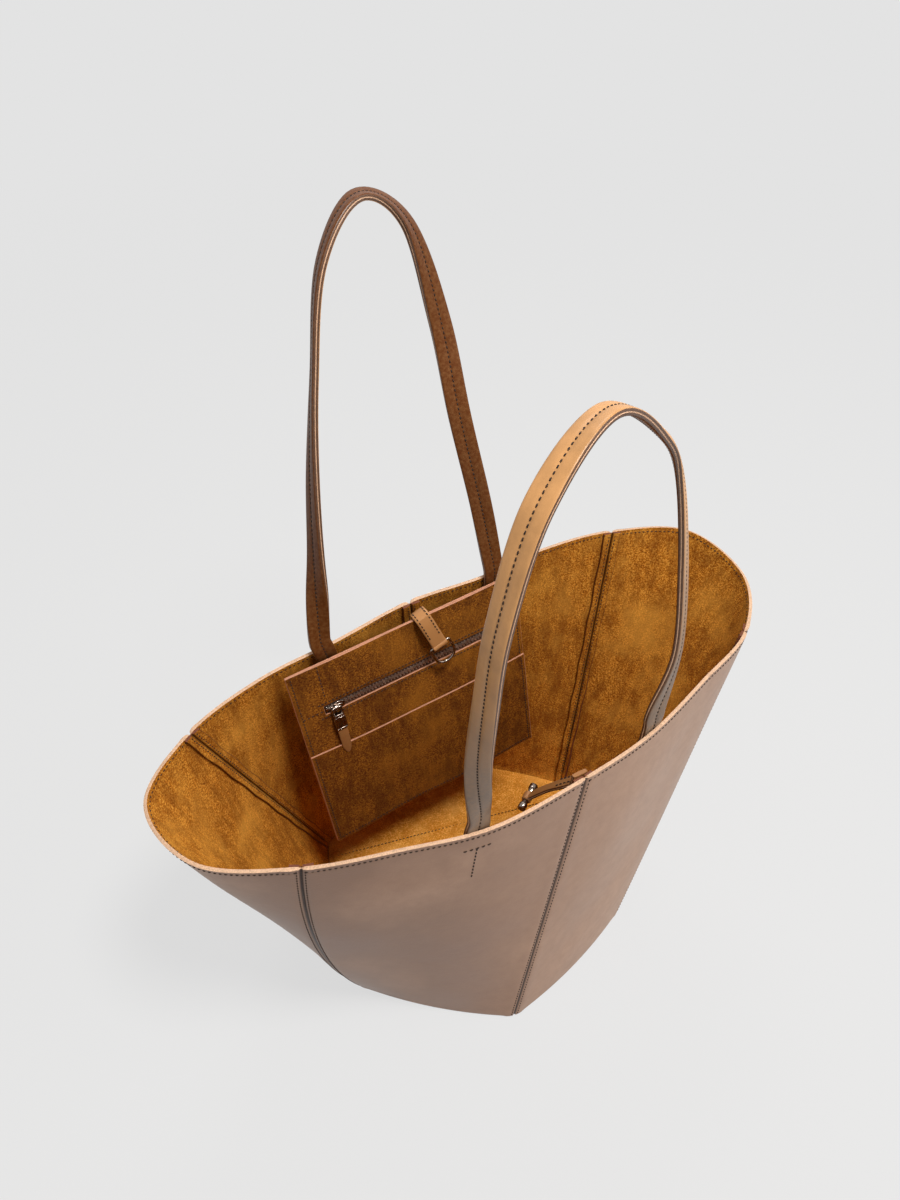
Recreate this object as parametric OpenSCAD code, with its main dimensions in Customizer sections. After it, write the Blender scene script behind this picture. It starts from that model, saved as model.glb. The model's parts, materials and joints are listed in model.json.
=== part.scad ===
// Open tote bag of six flared leather panels on a six-sided floor, with two
// arched shoulder straps, a hanging zip pouch, a toggle and a ring to close it.
// Millimetres. +Z is up, the front is -Y, the origin is the middle of the base.

/* [Floor] */
// Width of the floor between its two side edges
floor_w = 213; // [190:1:235]
// Depth of the floor from its front corner to its back corner
floor_d = 235; // [215:1:255]
// Length of each side edge of the floor
floor_side = 124; // [110:1:140]
// Outward bow in the middle of each floor edge
floor_bow = 5; // [0:1:8]
// Thickness of the loose lap on the floor
lap_t = 1.4; // [1:0.1:2]
// Distance from the middle of the floor back to the edge of the lap
lap_edge = 50; // [30:1:70]

/* [Walls] */
// Height of the rim at the front seam
rim_h = 255; // [235:1:275]
// Longest way across the open mouth
mouth_l = 420; // [390:1:450]
// Depth of the open mouth
mouth_d = 212; // [200:1:225]
// Outward belly of the left front seam
corner_belly = 12; // [0:1:18]
// Thickness of the body leather
leather_t = 2.2; // [1.8:0.1:2.6]
// Width of the edge turned in on each side of a seam
allowance_w = 6.5; // [5:0.5:9]
// Clearance between one sewn layer and the next
sewn_gap = 0.4; // [0.3:0.05:0.5]

/* [Straps] */
// Width of a shoulder strap
strap_w = 14.5; // [11:0.5:17]
// Thickness of a folded shoulder strap
strap_t = 4; // [3.5:0.5:4.5]
// Height of the front strap above its feet
front_rise = 244; // [200:1:280]
// Height of the back strap above its feet
back_rise = 254; // [200:1:290]
// Backward lean of the front strap in degrees
front_lean = 3; // [0:1:8]
// Backward lean of the back strap in degrees
back_lean = 16; // [10:1:22]
// Length of strap that is sewn inside the wall
foot_depth = 30; // [22:1:38]
// Height of the bend of a strap above the rim
bend_rise = 5; // [4.5:0.5:6]
// Gap between a sewn foot and the round end of its strap
bend_gap = 0.95; // [0.6:0.05:0.95]
// Distance along the rim from the front seam to the left foot
front_foot_left = 66; // [58:1:78]
// Distance along the rim from the front seam to the right foot
front_foot_right = 61; // [45:1:70]
// Distance along the rim from the back seam to the left foot
back_foot_left = 67; // [55:1:75]
// Distance along the rim from the back seam to the right foot
back_foot_right = 63; // [55:1:75]
// Length of the cross bar of the outside stitch
stitch_bar = 14; // [10:1:16]
// Length of the upright of the outside stitch
stitch_stem = 30; // [20:1:34]
// Width of a stitched line
stitch_w = 1.2; // [0.8:0.1:1.6]

/* [Pouch] */
// Width of the hanging pouch
pouch_w = 173; // [150:1:180]
// Height of the hanging pouch
pouch_h = 169; // [145:1:180]
// Thickness of the pouch leather
pouch_t = 1.3; // [1.1:0.1:1.4]
// Width of the sewn border of the pouch
border_w = 6; // [4:0.5:9]
// Forward lean of the hanging pouch in degrees
pouch_lean = 8; // [6:1:11]
// Distance from the pouch top down to the slip pocket edge
slip_drop = 75; // [70:1:90]

/* [Zip] */
// Distance from the pouch top down to the middle of the zip
zip_drop = 40; // [34:1:44]
// Height of the window that the zip shows in
slot_h = 8; // [7.6:0.1:10]
// Distance from the left edge of the pouch to the window
slot_start = 19; // [14:1:30]
// Length of the window
slot_l = 141; // [110:1:145]
// Width of the interlocked teeth
chain_w = 3.8; // [3.4:0.1:4.4]
// Thickness of the teeth
chain_t = 2; // [1.6:0.1:2.2]
// Distance from tooth to tooth on one tape
tooth_pitch = 2.4; // [2:0.1:3]
// Width of one zip tape
tape_w = 11; // [8:0.5:14]
// Thickness of a zip tape
tape_t = 0.4; // [0.3:0.1:0.6]
// Length of the slider
slider_l = 14; // [11:0.5:16]
// Width of the slider
slider_w = 7; // [6:0.1:7.2]
// Radius of the wire of the puller loop
loop_wire = 0.8; // [0.6:0.05:0.85]
// Length of the metal collar on the puller
collar_l = 14; // [8:1:16]
// Length of the leather tag below the collar
tag_l = 24; // [14:1:26]
// Width of the leather tag
tag_w = 7; // [5:0.5:9]

/* [Fittings] */
// Width of the leather tabs that hold the ring and the toggle
tab_w = 11; // [9:0.5:13]
// Thickness of the folded leather tabs
tab_t = 3; // [2.5:0.1:3.4]
// Length of each tab that is sewn below the rim
tab_root = 9; // [7:0.5:12]
// Radius of the ring's wire
ring_wire = 1; // [0.8:0.1:1.2]
// Inner width of the ring
ring_w = 13.4; // [12.6:0.1:16]
// Inner height of the ring
ring_h = 16.6; // [13:0.1:20]
// Distance from the pouch top down to the ring's bar
ring_drop = 25; // [20:1:28]
// Distance of the ring's bar in front of the pouch
ring_lift = 6; // [5.4:0.1:8]
// Length of the toggle bar
toggle_l = 20; // [18:0.5:24]
// Radius of the toggle bar's middle
toggle_r = 2; // [1.6:0.1:2.2]
// Radius of the toggle's end caps
cap_r = 2.6; // [2.5:0.1:3.4]
// Length of each end cap
cap_l = 4.2; // [3:0.1:4.4]
// Running clearance around a bar or wire that turns
turn_gap = 0.08; // [0.04:0.01:0.1]

/* [Hidden] */

// Seams are numbered round the bag, seen from above: 0 front middle, 1 front
// right, 2 back right, 3 back middle, 4 back left, 5 front left.
seam_count = 6;
front_seam = 0;
back_seam = 3;
belly_seam = 5;
// Mouth outline, three points to a panel from the front seam on, as shares of
// half the mouth's length, half its depth and the rim's height
rim_shape = [
    [0.20, -0.85, 1.00], [0.44, -0.66, 0.985], [0.68, -0.38, 0.98],
    [0.905, -0.08, 0.973], [1.02, 0.385, 0.972], [0.93, 0.87, 0.983],
    [0.663, 0.99, 0.995], [0.402, 0.92, 1.01], [0.155, 0.763, 1.02],
    [-0.103, 0.686, 1.017], [-0.355, 0.527, 1.003], [-0.614, 0.385, 0.985],
    [-0.837, 0.125, 0.976], [-0.976, -0.289, 0.976], [-0.864, -0.747, 0.986],
    [-0.60, -0.935, 0.992], [-0.338, -1.0, 1.008], [-0.087, -1.008, 1.008]];
points_a_panel = 3;
// Arch of each strap from its left foot to its right foot: shares of half the
// distance between the feet and of the rise, millimetres out of the arch's
// plane, and degrees of twist
front_arch = [
    [-1, 0, 0, 0], [-1, 0.04, 0, 0], [-1.087, 0.226, -5, 52], [-1.14, 0.448, -13, 76],
    [-1.101, 0.67, -17, 84], [-0.781, 0.88, -12, 84], [-0.09, 0.962, 2, 106],
    [0.614, 0.832, 12, 78], [0.959, 0.695, 15, 48], [1.146, 0.456, 11, 36],
    [1.169, 0.214, 3, 28], [1, 0.04, 0, 0], [1, 0, 0, 0]
];
back_arch = [
    [-1, 0, 0, 0], [-1, 0.04, 0, 0], [-0.848, 0.232, -5, 68], [-0.663, 0.46, -10, 90],
    [-0.422, 0.683, -13, 104], [-0.111, 0.899, -11, 99], [0.38, 1, -2, 84],
    [0.883, 0.905, 14, 48], [1.045, 0.67, 18, 4], [0.983, 0.447, 6, -18],
    [0.99, 0.221, 0, -24], [1, 0.04, 0, 0], [1, 0, 0, 0]
];
// Smallest steps used to find a direction on a surface or along a curve
nudge = 0.02;
// Rings of a strap to each stretch of its arch, and its edge's bevel
rings_a_stretch = 5;
strap_bevel = 1;
// Panel columns between its two turned edges, and rows up the wall
panel_columns = 14;
panel_rows = 8;
edge_step = 0.3;
// Where the pouch's top left corner hangs, and how far it is turned
pouch_corner = [-112.5, 34.6, 251];
pouch_yaw = 13.7;
pouch_roll = 3;
// Sideways slant of the ring's tab, and where it crosses the pouch's top
tab_slant = 16;
tab_cross = 98;
// How far in front of and above the pouch's top edge the tab bends
tab_knee = [-2.4, 2.4];
// Middle of the toggle bar, and the direction that the bar points
toggle_mid = [17, -65.5, 210];
toggle_yaw = 45;
// Extra room behind the toggle's strap, which leaves the wall at an angle
toggle_off = 3;
// Wire and leather round the ring's bar and the toggle bar
tab_fold_r = 2.4;
toggle_fold_r = 4;
chain_gap = 0.15;
slider_plate = 1.05;
bridge_l = 4;
bridge_h = 4.4;
bridge_rise = 2.5;
tooth_w = 0.9;
stop_l = 2;
slot_end = 1;
tag_gap = 0.3;
collar_wall = 0.7;
$fn = 32;

leather = [0.56, 0.47, 0.40];
suede = [0.70, 0.44, 0.13];
tan = [0.76, 0.56, 0.34];
pouch_brown = [0.46, 0.28, 0.08];
thread = [0.20, 0.13, 0.09];
metal = [0.36, 0.35, 0.34];

function unit(v) = v / norm(v);
function total(v, i = 0) = i < len(v) ? v[i] + total(v, i + 1) : 0;
function smooth(a, b, c, d, w) = 0.5 * (2 * b + (c - a) * w
    + (2 * a - 5 * b + 4 * c - d) * w * w + (3 * b - a - 3 * c + d) * w * w * w);
function turn_x(v, a) = [v.x, v.y * cos(a) - v.z * sin(a), v.y * sin(a) + v.z * cos(a)];
function turn_y(v, a) = [v.x * cos(a) + v.z * sin(a), v.y, v.z * cos(a) - v.x * sin(a)];
function turn_z(v, a) = [v.x * cos(a) - v.y * sin(a), v.x * sin(a) + v.y * cos(a), v.z];

// Rim and base outlines. Whole values of s are seams.
function rim_point(k) = let (p = rim_shape[(k + 2 * len(rim_shape)) % len(rim_shape)])
    [p.x * mouth_l / 2, p.y * mouth_d / 2, p.z * rim_h];
function rim(s) = let (u = s * points_a_panel, k = floor(u))
    smooth(rim_point(k - 1), rim_point(k), rim_point(k + 1), rim_point(k + 2), u - k);
base_corners = [[0, -floor_d / 2], [floor_w / 2, -floor_side / 2],
    [floor_w / 2, floor_side / 2], [0, floor_d / 2],
    [-floor_w / 2, floor_side / 2], [-floor_w / 2, -floor_side / 2]];
function base(s) = let (k = floor(s), w = s - k,
        a = base_corners[(k + 2 * seam_count) % seam_count],
        b = base_corners[(k + 1 + 2 * seam_count) % seam_count],
        out = unit([(b - a).y, -(b - a).x]),
        p = a * (1 - w) + b * w + out * floor_bow * 4 * w * (1 - w))
    [p.x, p.y, leather_t];

// A point of the wall's outer face, t going from the floor to the rim
belly_way = [cos(210), sin(210), 0];
function belly(s, t) = let (q = s - seam_count * floor(s / seam_count),
        near = max(0, 1 - abs(q - belly_seam)))
    belly_way * corner_belly * 4 * t * (1 - t) * pow(sin(90 * near), 2);
function wall(s, t) = base(s) * (1 - t) + rim(s) * t + belly(s, t);
function wall_in(s, t) = let (
        n = cross(wall(s, t + nudge) - wall(s, t - nudge), wall(s + nudge, t) - wall(s - nudge, t)))
    unit(t <= 0 ? [n.x, n.y, 0] : n);
function wall_at(s, t, depth) = wall(s, t) + wall_in(s, t) * depth;
function wall_speed(s, t) = norm(wall(s + nudge, t) - wall(s - nudge, t)) / (2 * nudge);
// The height share that lies a distance below the rim
function below_rim(depth) = 1 - depth / rim_h;
rim_chords = 48;
rim_length = total([for (i = [0:rim_chords - 1])
    norm(rim((i + 1) * seam_count / rim_chords) - rim(i * seam_count / rim_chords))]);
panel_top = rim_length / seam_count;

// A closed sheet between an outer and an inner grid of points
module sheet(outer, inner) {
    rows = len(outer);
    cols = len(outer[0]);
    points = concat([for (row = outer) each row], [for (row = inner) each row]);
    function o(i, j) = j * cols + i;
    function n(i, j) = rows * cols + j * cols + i;
    faces = concat(
        [for (j = [0:rows - 2], i = [0:cols - 2]) each [
            [o(i, j), o(i, j + 1), o(i + 1, j + 1)], [o(i, j), o(i + 1, j + 1), o(i + 1, j)],
            [n(i, j), n(i + 1, j + 1), n(i, j + 1)], [n(i, j), n(i + 1, j), n(i + 1, j + 1)]]],
        [for (i = [0:cols - 2]) each [
            [o(i, 0), o(i + 1, 0), n(i + 1, 0)], [o(i, 0), n(i + 1, 0), n(i, 0)],
            [o(i, rows - 1), n(i, rows - 1), n(i + 1, rows - 1)],
            [o(i, rows - 1), n(i + 1, rows - 1), o(i + 1, rows - 1)]]],
        [for (j = [0:rows - 2]) each [
            [o(0, j), n(0, j), n(0, j + 1)], [o(0, j), n(0, j + 1), o(0, j + 1)],
            [o(cols - 1, j), n(cols - 1, j + 1), n(cols - 1, j)],
            [o(cols - 1, j), o(cols - 1, j + 1), n(cols - 1, j + 1)]]]);
    polyhedron(points, faces);
}

// A wall panel from one seam to the next, double where its edges are turned in
module panel(seam) {
    base_len = norm(base(seam + 1) - base(seam));
    function turned(t) = allowance_w / (base_len * (1 - t) + panel_top * t);
    function step(t) = edge_step / (base_len * (1 - t) + panel_top * t);
    function shares(t) = let (a = turned(t), b = a + step(t)) concat([0, a / 2, a],
        [for (i = [0:panel_columns]) b + (1 - 2 * b) * i / panel_columns],
        [1 - a, 1 - a / 2, 1]);
    function layers(w, t) = (w <= turned(t) || w >= 1 - turned(t)) ? 2 : 1;
    levels = [for (j = [0:panel_rows]) j / panel_rows];
    color(leather)
        sheet([for (t = levels) [for (w = shares(t)) wall(seam + w, t)]],
            [for (t = levels) [for (w = shares(t))
                wall_at(seam + w, t, leather_t * layers(w, t))]]);
}

// A strip lying along the wall, from one depth below the rim to another
module wall_strip(s, width, low, high, from, to) {
    half = width / 2 / wall_speed(s, 1);
    across = [for (i = [-2:2]) s + half * i / 2];
    up = [for (j = [0:4]) below_rim(low + (high - low) * j / 4)];
    sheet([for (t = up) [for (q = across) wall_at(q, t, from)]],
        [for (t = up) [for (q = across) wall_at(q, t, to)]]);
}

module floor_outline(inset) {
    edge_points = 8;
    polygon([for (i = [0:seam_count * edge_points - 1])
        let (s = i / edge_points, p = base(s)) [p.x, p.y] - unit([p.x, p.y]) * inset]);
}

module floor_panel() {
    color(suede) linear_extrude(leather_t) floor_outline(0);
}

// The lap lies on the floor inside the turned edges of the walls
module floor_lap() {
    inset = 2 * leather_t + 2;
    color(suede) translate([0, 0, leather_t]) linear_extrude(lap_t) intersection() {
        floor_outline(inset);
        translate([-floor_w / 2, -floor_d / 2])
            square([floor_w, floor_d / 2 + lap_edge]);
    }
}

// Strap feet and the points where the straps bend above the rim
front_left_s = front_seam - front_foot_left / panel_top;
front_right_s = front_seam + front_foot_right / panel_top;
back_left_s = back_seam + back_foot_left / panel_top;
back_right_s = back_seam - back_foot_right / panel_top;
foot_in = leather_t + sewn_gap;
function bend_point(s) = wall_at(s, below_rim(-bend_rise), foot_in + strap_t / 2);

module strap_foot(s) {
    wall_strip(s, strap_w, foot_depth, strap_t / 2 + bend_gap - bend_rise,
        foot_in, foot_in + strap_t);
}

module front_strap_feet() {
    color(tan) {
        strap_foot(front_left_s);
        strap_foot(front_right_s);
    }
}

module back_strap_feet() {
    color(tan) {
        strap_foot(back_left_s);
        strap_foot(back_right_s);
    }
}

// The T of thread that shows outside the front wall under the left foot
module foot_stitch() {
    stitch_top = 14;
    proud = 0.6;
    color(thread) {
        wall_strip(front_left_s, stitch_bar, stitch_top + stitch_w, stitch_top, -proud, -0.05);
        wall_strip(front_left_s, stitch_w, stitch_top + stitch_stem,
            stitch_top + stitch_w + 0.1, -proud, -0.05);
    }
}

// A strap swept along its arch between two bend points, with round ends
function arch_value(arch, u) = let (n = len(arch) - 1, k = min(n - 1, max(0, floor(u))),
        before = k > 0 ? arch[k - 1] : 2 * arch[0] - arch[1],
        after = k < n - 1 ? arch[k + 2] : 2 * arch[n] - arch[n - 1])
    smooth(before, arch[k], arch[k + 1], after, u - k);
module strap(left, right, rise, lean, arch) {
    middle = (left + right) / 2;
    half_span = norm(right - left) / 2;
    along = unit(right - left);
    level = unit([-along.y, along.x, 0]);
    plumb = cross(along, level);
    up = plumb * cos(lean) + level * sin(lean);
    out = level * cos(lean) - plumb * sin(lean);
    last = len(arch) - 1;
    function place(v) = middle + along * v[0] * half_span + up * v[1] * rise + out * v[2];
    function way(u) = u <= 0 ? up : u >= last ? -up
        : unit(place(arch_value(arch, u + nudge)) - place(arch_value(arch, u - nudge)));
    function ring(p, way, twist, half_t) = let (
            n = unit(cross(way, out)), b = cross(n, way),
            w = n * cos(twist) + b * sin(twist), f = cross(way, w),
            hw = strap_w / 2, c = min(strap_bevel, half_t / 2))
        [p + w * (hw - c) + f * half_t, p + w * hw + f * (half_t - c),
         p + w * hw - f * (half_t - c), p + w * (hw - c) - f * half_t,
         p - w * (hw - c) - f * half_t, p - w * hw - f * (half_t - c),
         p - w * hw + f * (half_t - c), p - w * (hw - c) + f * half_t];
    r = strap_t / 2;
    tips = [75, 50, 25];
    stops = concat([0, 0.5], [for (i = [rings_a_stretch:(last - 1) * rings_a_stretch])
        i / rings_a_stretch], [last - 0.5, last]);
    rings = concat(
        [for (a = tips) ring(left - up * r * sin(a), up, 0, r * cos(a))],
        [for (u = stops) let (v = arch_value(arch, u)) ring(place(v), way(u), v[3], r)],
        [for (i = [2:-1:0]) ring(right - up * r * sin(tips[i]), -up, 0, r * cos(tips[i]))]);
    sides = 8;
    m = len(rings);
    polyhedron([for (q = rings) each q], concat(
        [[for (i = [sides - 1:-1:0]) i]],
        [for (j = [0:m - 2], i = [0:sides - 1]) let (k = (i + 1) % sides) each [
            [j * sides + i, j * sides + k, (j + 1) * sides + k],
            [j * sides + i, (j + 1) * sides + k, (j + 1) * sides + i]]],
        [[for (i = [0:sides - 1]) (m - 1) * sides + i]]));
}

module front_strap() {
    color(tan) strap(bend_point(front_left_s), bend_point(front_right_s),
        front_rise, front_lean, front_arch);
}

module back_strap() {
    color(tan) strap(bend_point(back_left_s), bend_point(back_right_s),
        back_rise, back_lean, back_arch);
}

// The pouch is drawn with its front face at y = 0 and its top at z = 0
chain_mid = pouch_t + tape_t / 2;
chain_front = chain_mid - chain_t / 2;
pocket_d = chain_mid + chain_t / 2 + chain_gap;
pouch_d = pocket_d + pouch_t;
function pouch_turned(v) = turn_z(turn_y(turn_x(v, -pouch_lean), -pouch_roll), pouch_yaw);
function pouch_point(v) = pouch_corner + pouch_turned(v);
function to_pouch(p) = turn_x(turn_y(turn_z(p - pouch_corner, -pouch_yaw), pouch_roll),
    pouch_lean);
module hang() {
    translate(pouch_corner) rotate([-pouch_lean, -pouch_roll, pouch_yaw]) children();
}

module pouch_back() {
    color(pouch_brown) hang() difference() {
        translate([0, pouch_t, -pouch_h]) cube([pouch_w, pouch_d - pouch_t, pouch_h]);
        translate([border_w, 0, border_w - pouch_h])
            cube([pouch_w - 2 * border_w, pocket_d, pouch_h - 2 * border_w]);
    }
}

module slot_window(grow) {
    translate([slot_start - grow, -pouch_t, -zip_drop - slot_h / 2])
        cube([slot_l + 2 * grow, 3 * pouch_t, slot_h]);
}

module pouch_front() {
    color(pouch_brown) hang() difference() {
        translate([0, 0, -pouch_h]) cube([pouch_w, pouch_t, pouch_h]);
        slot_window(0);
    }
}

module slip_pocket() {
    color(pouch_brown) hang() translate([0, -pouch_t, -pouch_h])
        cube([pouch_w, pouch_t, pouch_h - slip_drop]);
}

tape_l = min(slot_l + 14, pouch_w - 2 * border_w - 2);
tape_start = slot_start + slot_l / 2 - tape_l / 2;
module zip_tapes() {
    color(thread) hang() for (side = [0, 1]) mirror([0, 0, side])
        translate([max(border_w, tape_start), pouch_t,
            chain_w / 2 + (side == 0 ? -zip_drop : zip_drop)])
            cube([tape_l, tape_t, tape_w]);
}

teeth_start = slot_start + slot_end + stop_l;
tooth_count = floor((slot_l - 2 * slot_end - 2 * stop_l) / tooth_pitch);
tooth_h = chain_w * 0.74;
module zip_teeth() {
    color(metal) hang() for (i = [0:tooth_count - 1]) {
        translate([teeth_start + i * tooth_pitch, chain_front,
            chain_w / 2 - tooth_h - zip_drop]) cube([tooth_w, chain_t, tooth_h]);
        translate([teeth_start + (i + 0.5) * tooth_pitch, chain_front,
            -chain_w / 2 - zip_drop]) cube([tooth_w, chain_t, tooth_h]);
    }
}

module zip_stops() {
    color(metal) hang() for (x = [slot_start + slot_end - 0.3,
            teeth_start + tooth_count * tooth_pitch])
        translate([x, chain_front, -chain_w / 2 - zip_drop])
            cube([stop_l, chain_t, chain_w]);
}

// Slider, standing at the left end of the zip
slider_x = slot_start + slider_l / 2 + 0.5;
plate_front = chain_front - chain_gap - slider_plate;
bar_y = plate_front - bridge_rise / 2 - 0.1;
module at_slider() {
    hang() translate([slider_x, 0, -zip_drop]) children();
}

module zip_slider() {
    end_r = slider_w * 0.3;
    color(metal) at_slider() {
        difference() {
            union() {
                translate([-slider_l / 2, plate_front, -end_r])
                    cube([slider_l, slider_plate, 2 * end_r]);
                translate([-slider_l * 0.3, plate_front, -slider_w / 2])
                    cube([slider_l * 0.8, slider_plate, slider_w]);
                translate([-bridge_l / 2, plate_front - bridge_rise, -bridge_h / 2])
                    cube([bridge_l, bridge_rise + slider_plate / 2, bridge_h]);
            }
            translate([0, bar_y, 0]) rotate([0, 90, 0])
                cylinder(r = loop_wire + turn_gap, h = 2 * bridge_l, center = true);
        }
    }
}

loop_x = bridge_l / 2 + 0.4 + loop_wire;
collar_top = -bridge_h / 2 - 2 * loop_wire - 2;
module puller_loop() {
    color(metal) at_slider() translate([0, bar_y, 0]) {
        rotate([0, 90, 0]) cylinder(r = loop_wire, h = 2 * loop_x, center = true);
        for (x = [-loop_x, loop_x]) translate([x, 0, 0]) {
            sphere(r = loop_wire);
            translate([0, 0, collar_top]) cylinder(r = loop_wire, h = -collar_top);
        }
    }
}

tag_t = 1.6;
tag_back = -pouch_t - tag_gap;
collar_w = max(tag_w + 2 * collar_wall, 2 * (loop_x + loop_wire));
module tag_shape(deep) {
    translate([-tag_w / 2, tag_back - tag_t, collar_top - collar_l])
        cube([tag_w, tag_t, deep]);
}

module puller_collar() {
    color(metal) at_slider() difference() {
        translate([-collar_w / 2, tag_back - tag_t - collar_wall, collar_top - collar_l])
            cube([collar_w, tag_t + 2 * collar_wall, collar_l]);
        tag_shape(collar_l - 3);
    }
}

module puller_tag() {
    color(tan) at_slider() {
        tag_shape(collar_l - 3);
        translate([0, tag_back, collar_top - collar_l]) rotate([90, 0, 0])
            linear_extrude(tag_t) polygon([[-tag_w / 2, 0], [tag_w / 2, 0],
                [tag_w / 2, -tag_l + tag_w / 2], [1, -tag_l], [-1, -tag_l],
                [-tag_w / 2, -tag_l + tag_w / 2]]);
    }
}

// Outline of a tab of even thickness that follows a bent path. It starts with a
// round end of half its thickness, and ends in a fold of a radius of its own.
function angle_of(v) = atan2(v.y, v.x);
function arc(centre, r, from, to) = let (steps = 10)
    [for (i = [0:steps]) let (a = from + (to - from) * i / steps)
        centre + r * [cos(a), sin(a)]];
function side_of(path, i) = let (a = unit(path[i] - path[i - 1]),
        b = unit(path[i + 1] - path[i]), m = unit(a + b))
    [-m.y, m.x] / (m * a);
module tab_profile(path, t, fold_r, bar_r) {
    n = len(path) - 1;
    first = angle_of(path[1] - path[0]);
    last = angle_of(path[n] - path[n - 1]);
    neck = asin(t / 2 / fold_r);
    difference() {
        polygon(concat(arc(path[0], t / 2, first + 90, first + 270),
            [for (i = [1:1:n - 1]) path[i] - side_of(path, i) * t / 2],
            arc(path[n], fold_r, last - 180 + neck, last + 180 - neck),
            [for (i = [n - 1:-1:1]) path[i] + side_of(path, i) * t / 2]));
        translate(path[n]) circle(r = bar_r + turn_gap);
    }
}

// Ring tab: its root is sewn at the back seam, then it bends over the pouch
tab_in = 2 * leather_t + sewn_gap;
tab_room = 0.35 + tab_w / 2 * sin(tab_slant);
tab_bend = wall_at(back_seam, below_rim(1 - tab_t / 2 - tab_room), tab_in + tab_t / 2);
function tab_frame(p) = turn_y(to_pouch(p) - [tab_cross, 0, 0], tab_slant);
tab_start = tab_frame(tab_bend);
ring_bar = [-ring_lift, -ring_drop];
module tab_place() {
    hang() translate([tab_cross, 0, 0]) rotate([0, -tab_slant, 0]) children();
}

module ring_tab_root() {
    color(tan) wall_strip(back_seam, tab_w, tab_root, 1, tab_in, tab_in + tab_t);
}

module ring_tab() {
    color(tan) tab_place() translate([tab_start.x - tab_w / 2, 0, 0]) rotate([90, 0, 90])
        linear_extrude(tab_w)
            tab_profile([[tab_start.y, tab_start.z], tab_knee, ring_bar], tab_t,
                tab_fold_r, ring_wire);
}

module d_ring() {
    arc_r = ring_w / 2 + ring_wire;
    leg = ring_h + 2 * ring_wire - arc_r - ring_wire;
    color(metal) tab_place() translate([tab_start.x, ring_bar.x, ring_bar.y]) {
        rotate([0, 90, 0]) cylinder(r = ring_wire, h = 2 * arc_r, center = true);
        for (x = [-arc_r, arc_r]) translate([x, 0, 0]) {
            sphere(r = ring_wire);
            translate([0, 0, -leg]) cylinder(r = ring_wire, h = leg);
        }
        translate([0, 0, -leg]) rotate([90, 180, 0])
            rotate_extrude(angle = 180) translate([arc_r, 0]) circle(r = ring_wire);
    }
}

// Toggle: its root is sewn at the front seam, then it hangs into the bag
toggle_bend = wall_at(front_seam, below_rim(tab_root + tab_t / 2 + 0.4), tab_in + tab_t / 2 + toggle_off);
module toggle_root() {
    color(tan) wall_strip(front_seam, tab_w, tab_root, 1, tab_in, tab_in + tab_t);
}

// In the toggle's frame x runs along the bar, and the origin is its middle
function toggle_frame(p) = turn_z(p - toggle_mid, -toggle_yaw);
toggle_start = toggle_frame(toggle_bend);
toggle_strap_w = toggle_l - 2 * cap_l - 1;
module toggle_place() {
    translate(toggle_mid) rotate([0, 0, toggle_yaw]) children();
}

module toggle_strap() {
    color(tan) toggle_place() rotate([90, 0, 90])
        linear_extrude(toggle_strap_w, center = true)
            tab_profile([[toggle_start.y, toggle_start.z], [0, 0]], tab_t,
                toggle_fold_r, toggle_r);
}

module toggle_bar() {
    color(metal) toggle_place() rotate([0, 90, 0])
        cylinder(r = toggle_r, h = toggle_l - 2 * cap_l, center = true);
}

module toggle_caps() {
    color(metal) toggle_place() for (side = [-1, 1])
        translate([side * (toggle_l - cap_l) / 2, 0, 0]) rotate([0, 90, 0])
            cylinder(r = cap_r, h = cap_l, center = true);
}

module panel_front_left() { panel(5); }
module panel_front_right() { panel(0); }
module panel_wing_right() { panel(1); }
module panel_back_right() { panel(2); }
module panel_back_left() { panel(3); }
module panel_wing_left() { panel(4); }

panel_front_left();
panel_front_right();
panel_wing_right();
panel_back_right();
panel_back_left();
panel_wing_left();
floor_panel();
floor_lap();
front_strap();
back_strap();
front_strap_feet();
back_strap_feet();
foot_stitch();
pouch_back();
pouch_front();
slip_pocket();
zip_tapes();
zip_teeth();
zip_stops();
zip_slider();
puller_loop();
puller_collar();
puller_tag();
ring_tab_root();
ring_tab();
d_ring();
toggle_root();
toggle_strap();
toggle_bar();
toggle_caps();
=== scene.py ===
"""Leather trapeze tote: panels, straps, pouch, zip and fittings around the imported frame."""
import json
import math

import bmesh
import bpy
import numpy as np
from bpy.props import FloatProperty, FloatVectorProperty, IntProperty, PointerProperty
from mathutils import Matrix, Vector


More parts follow.
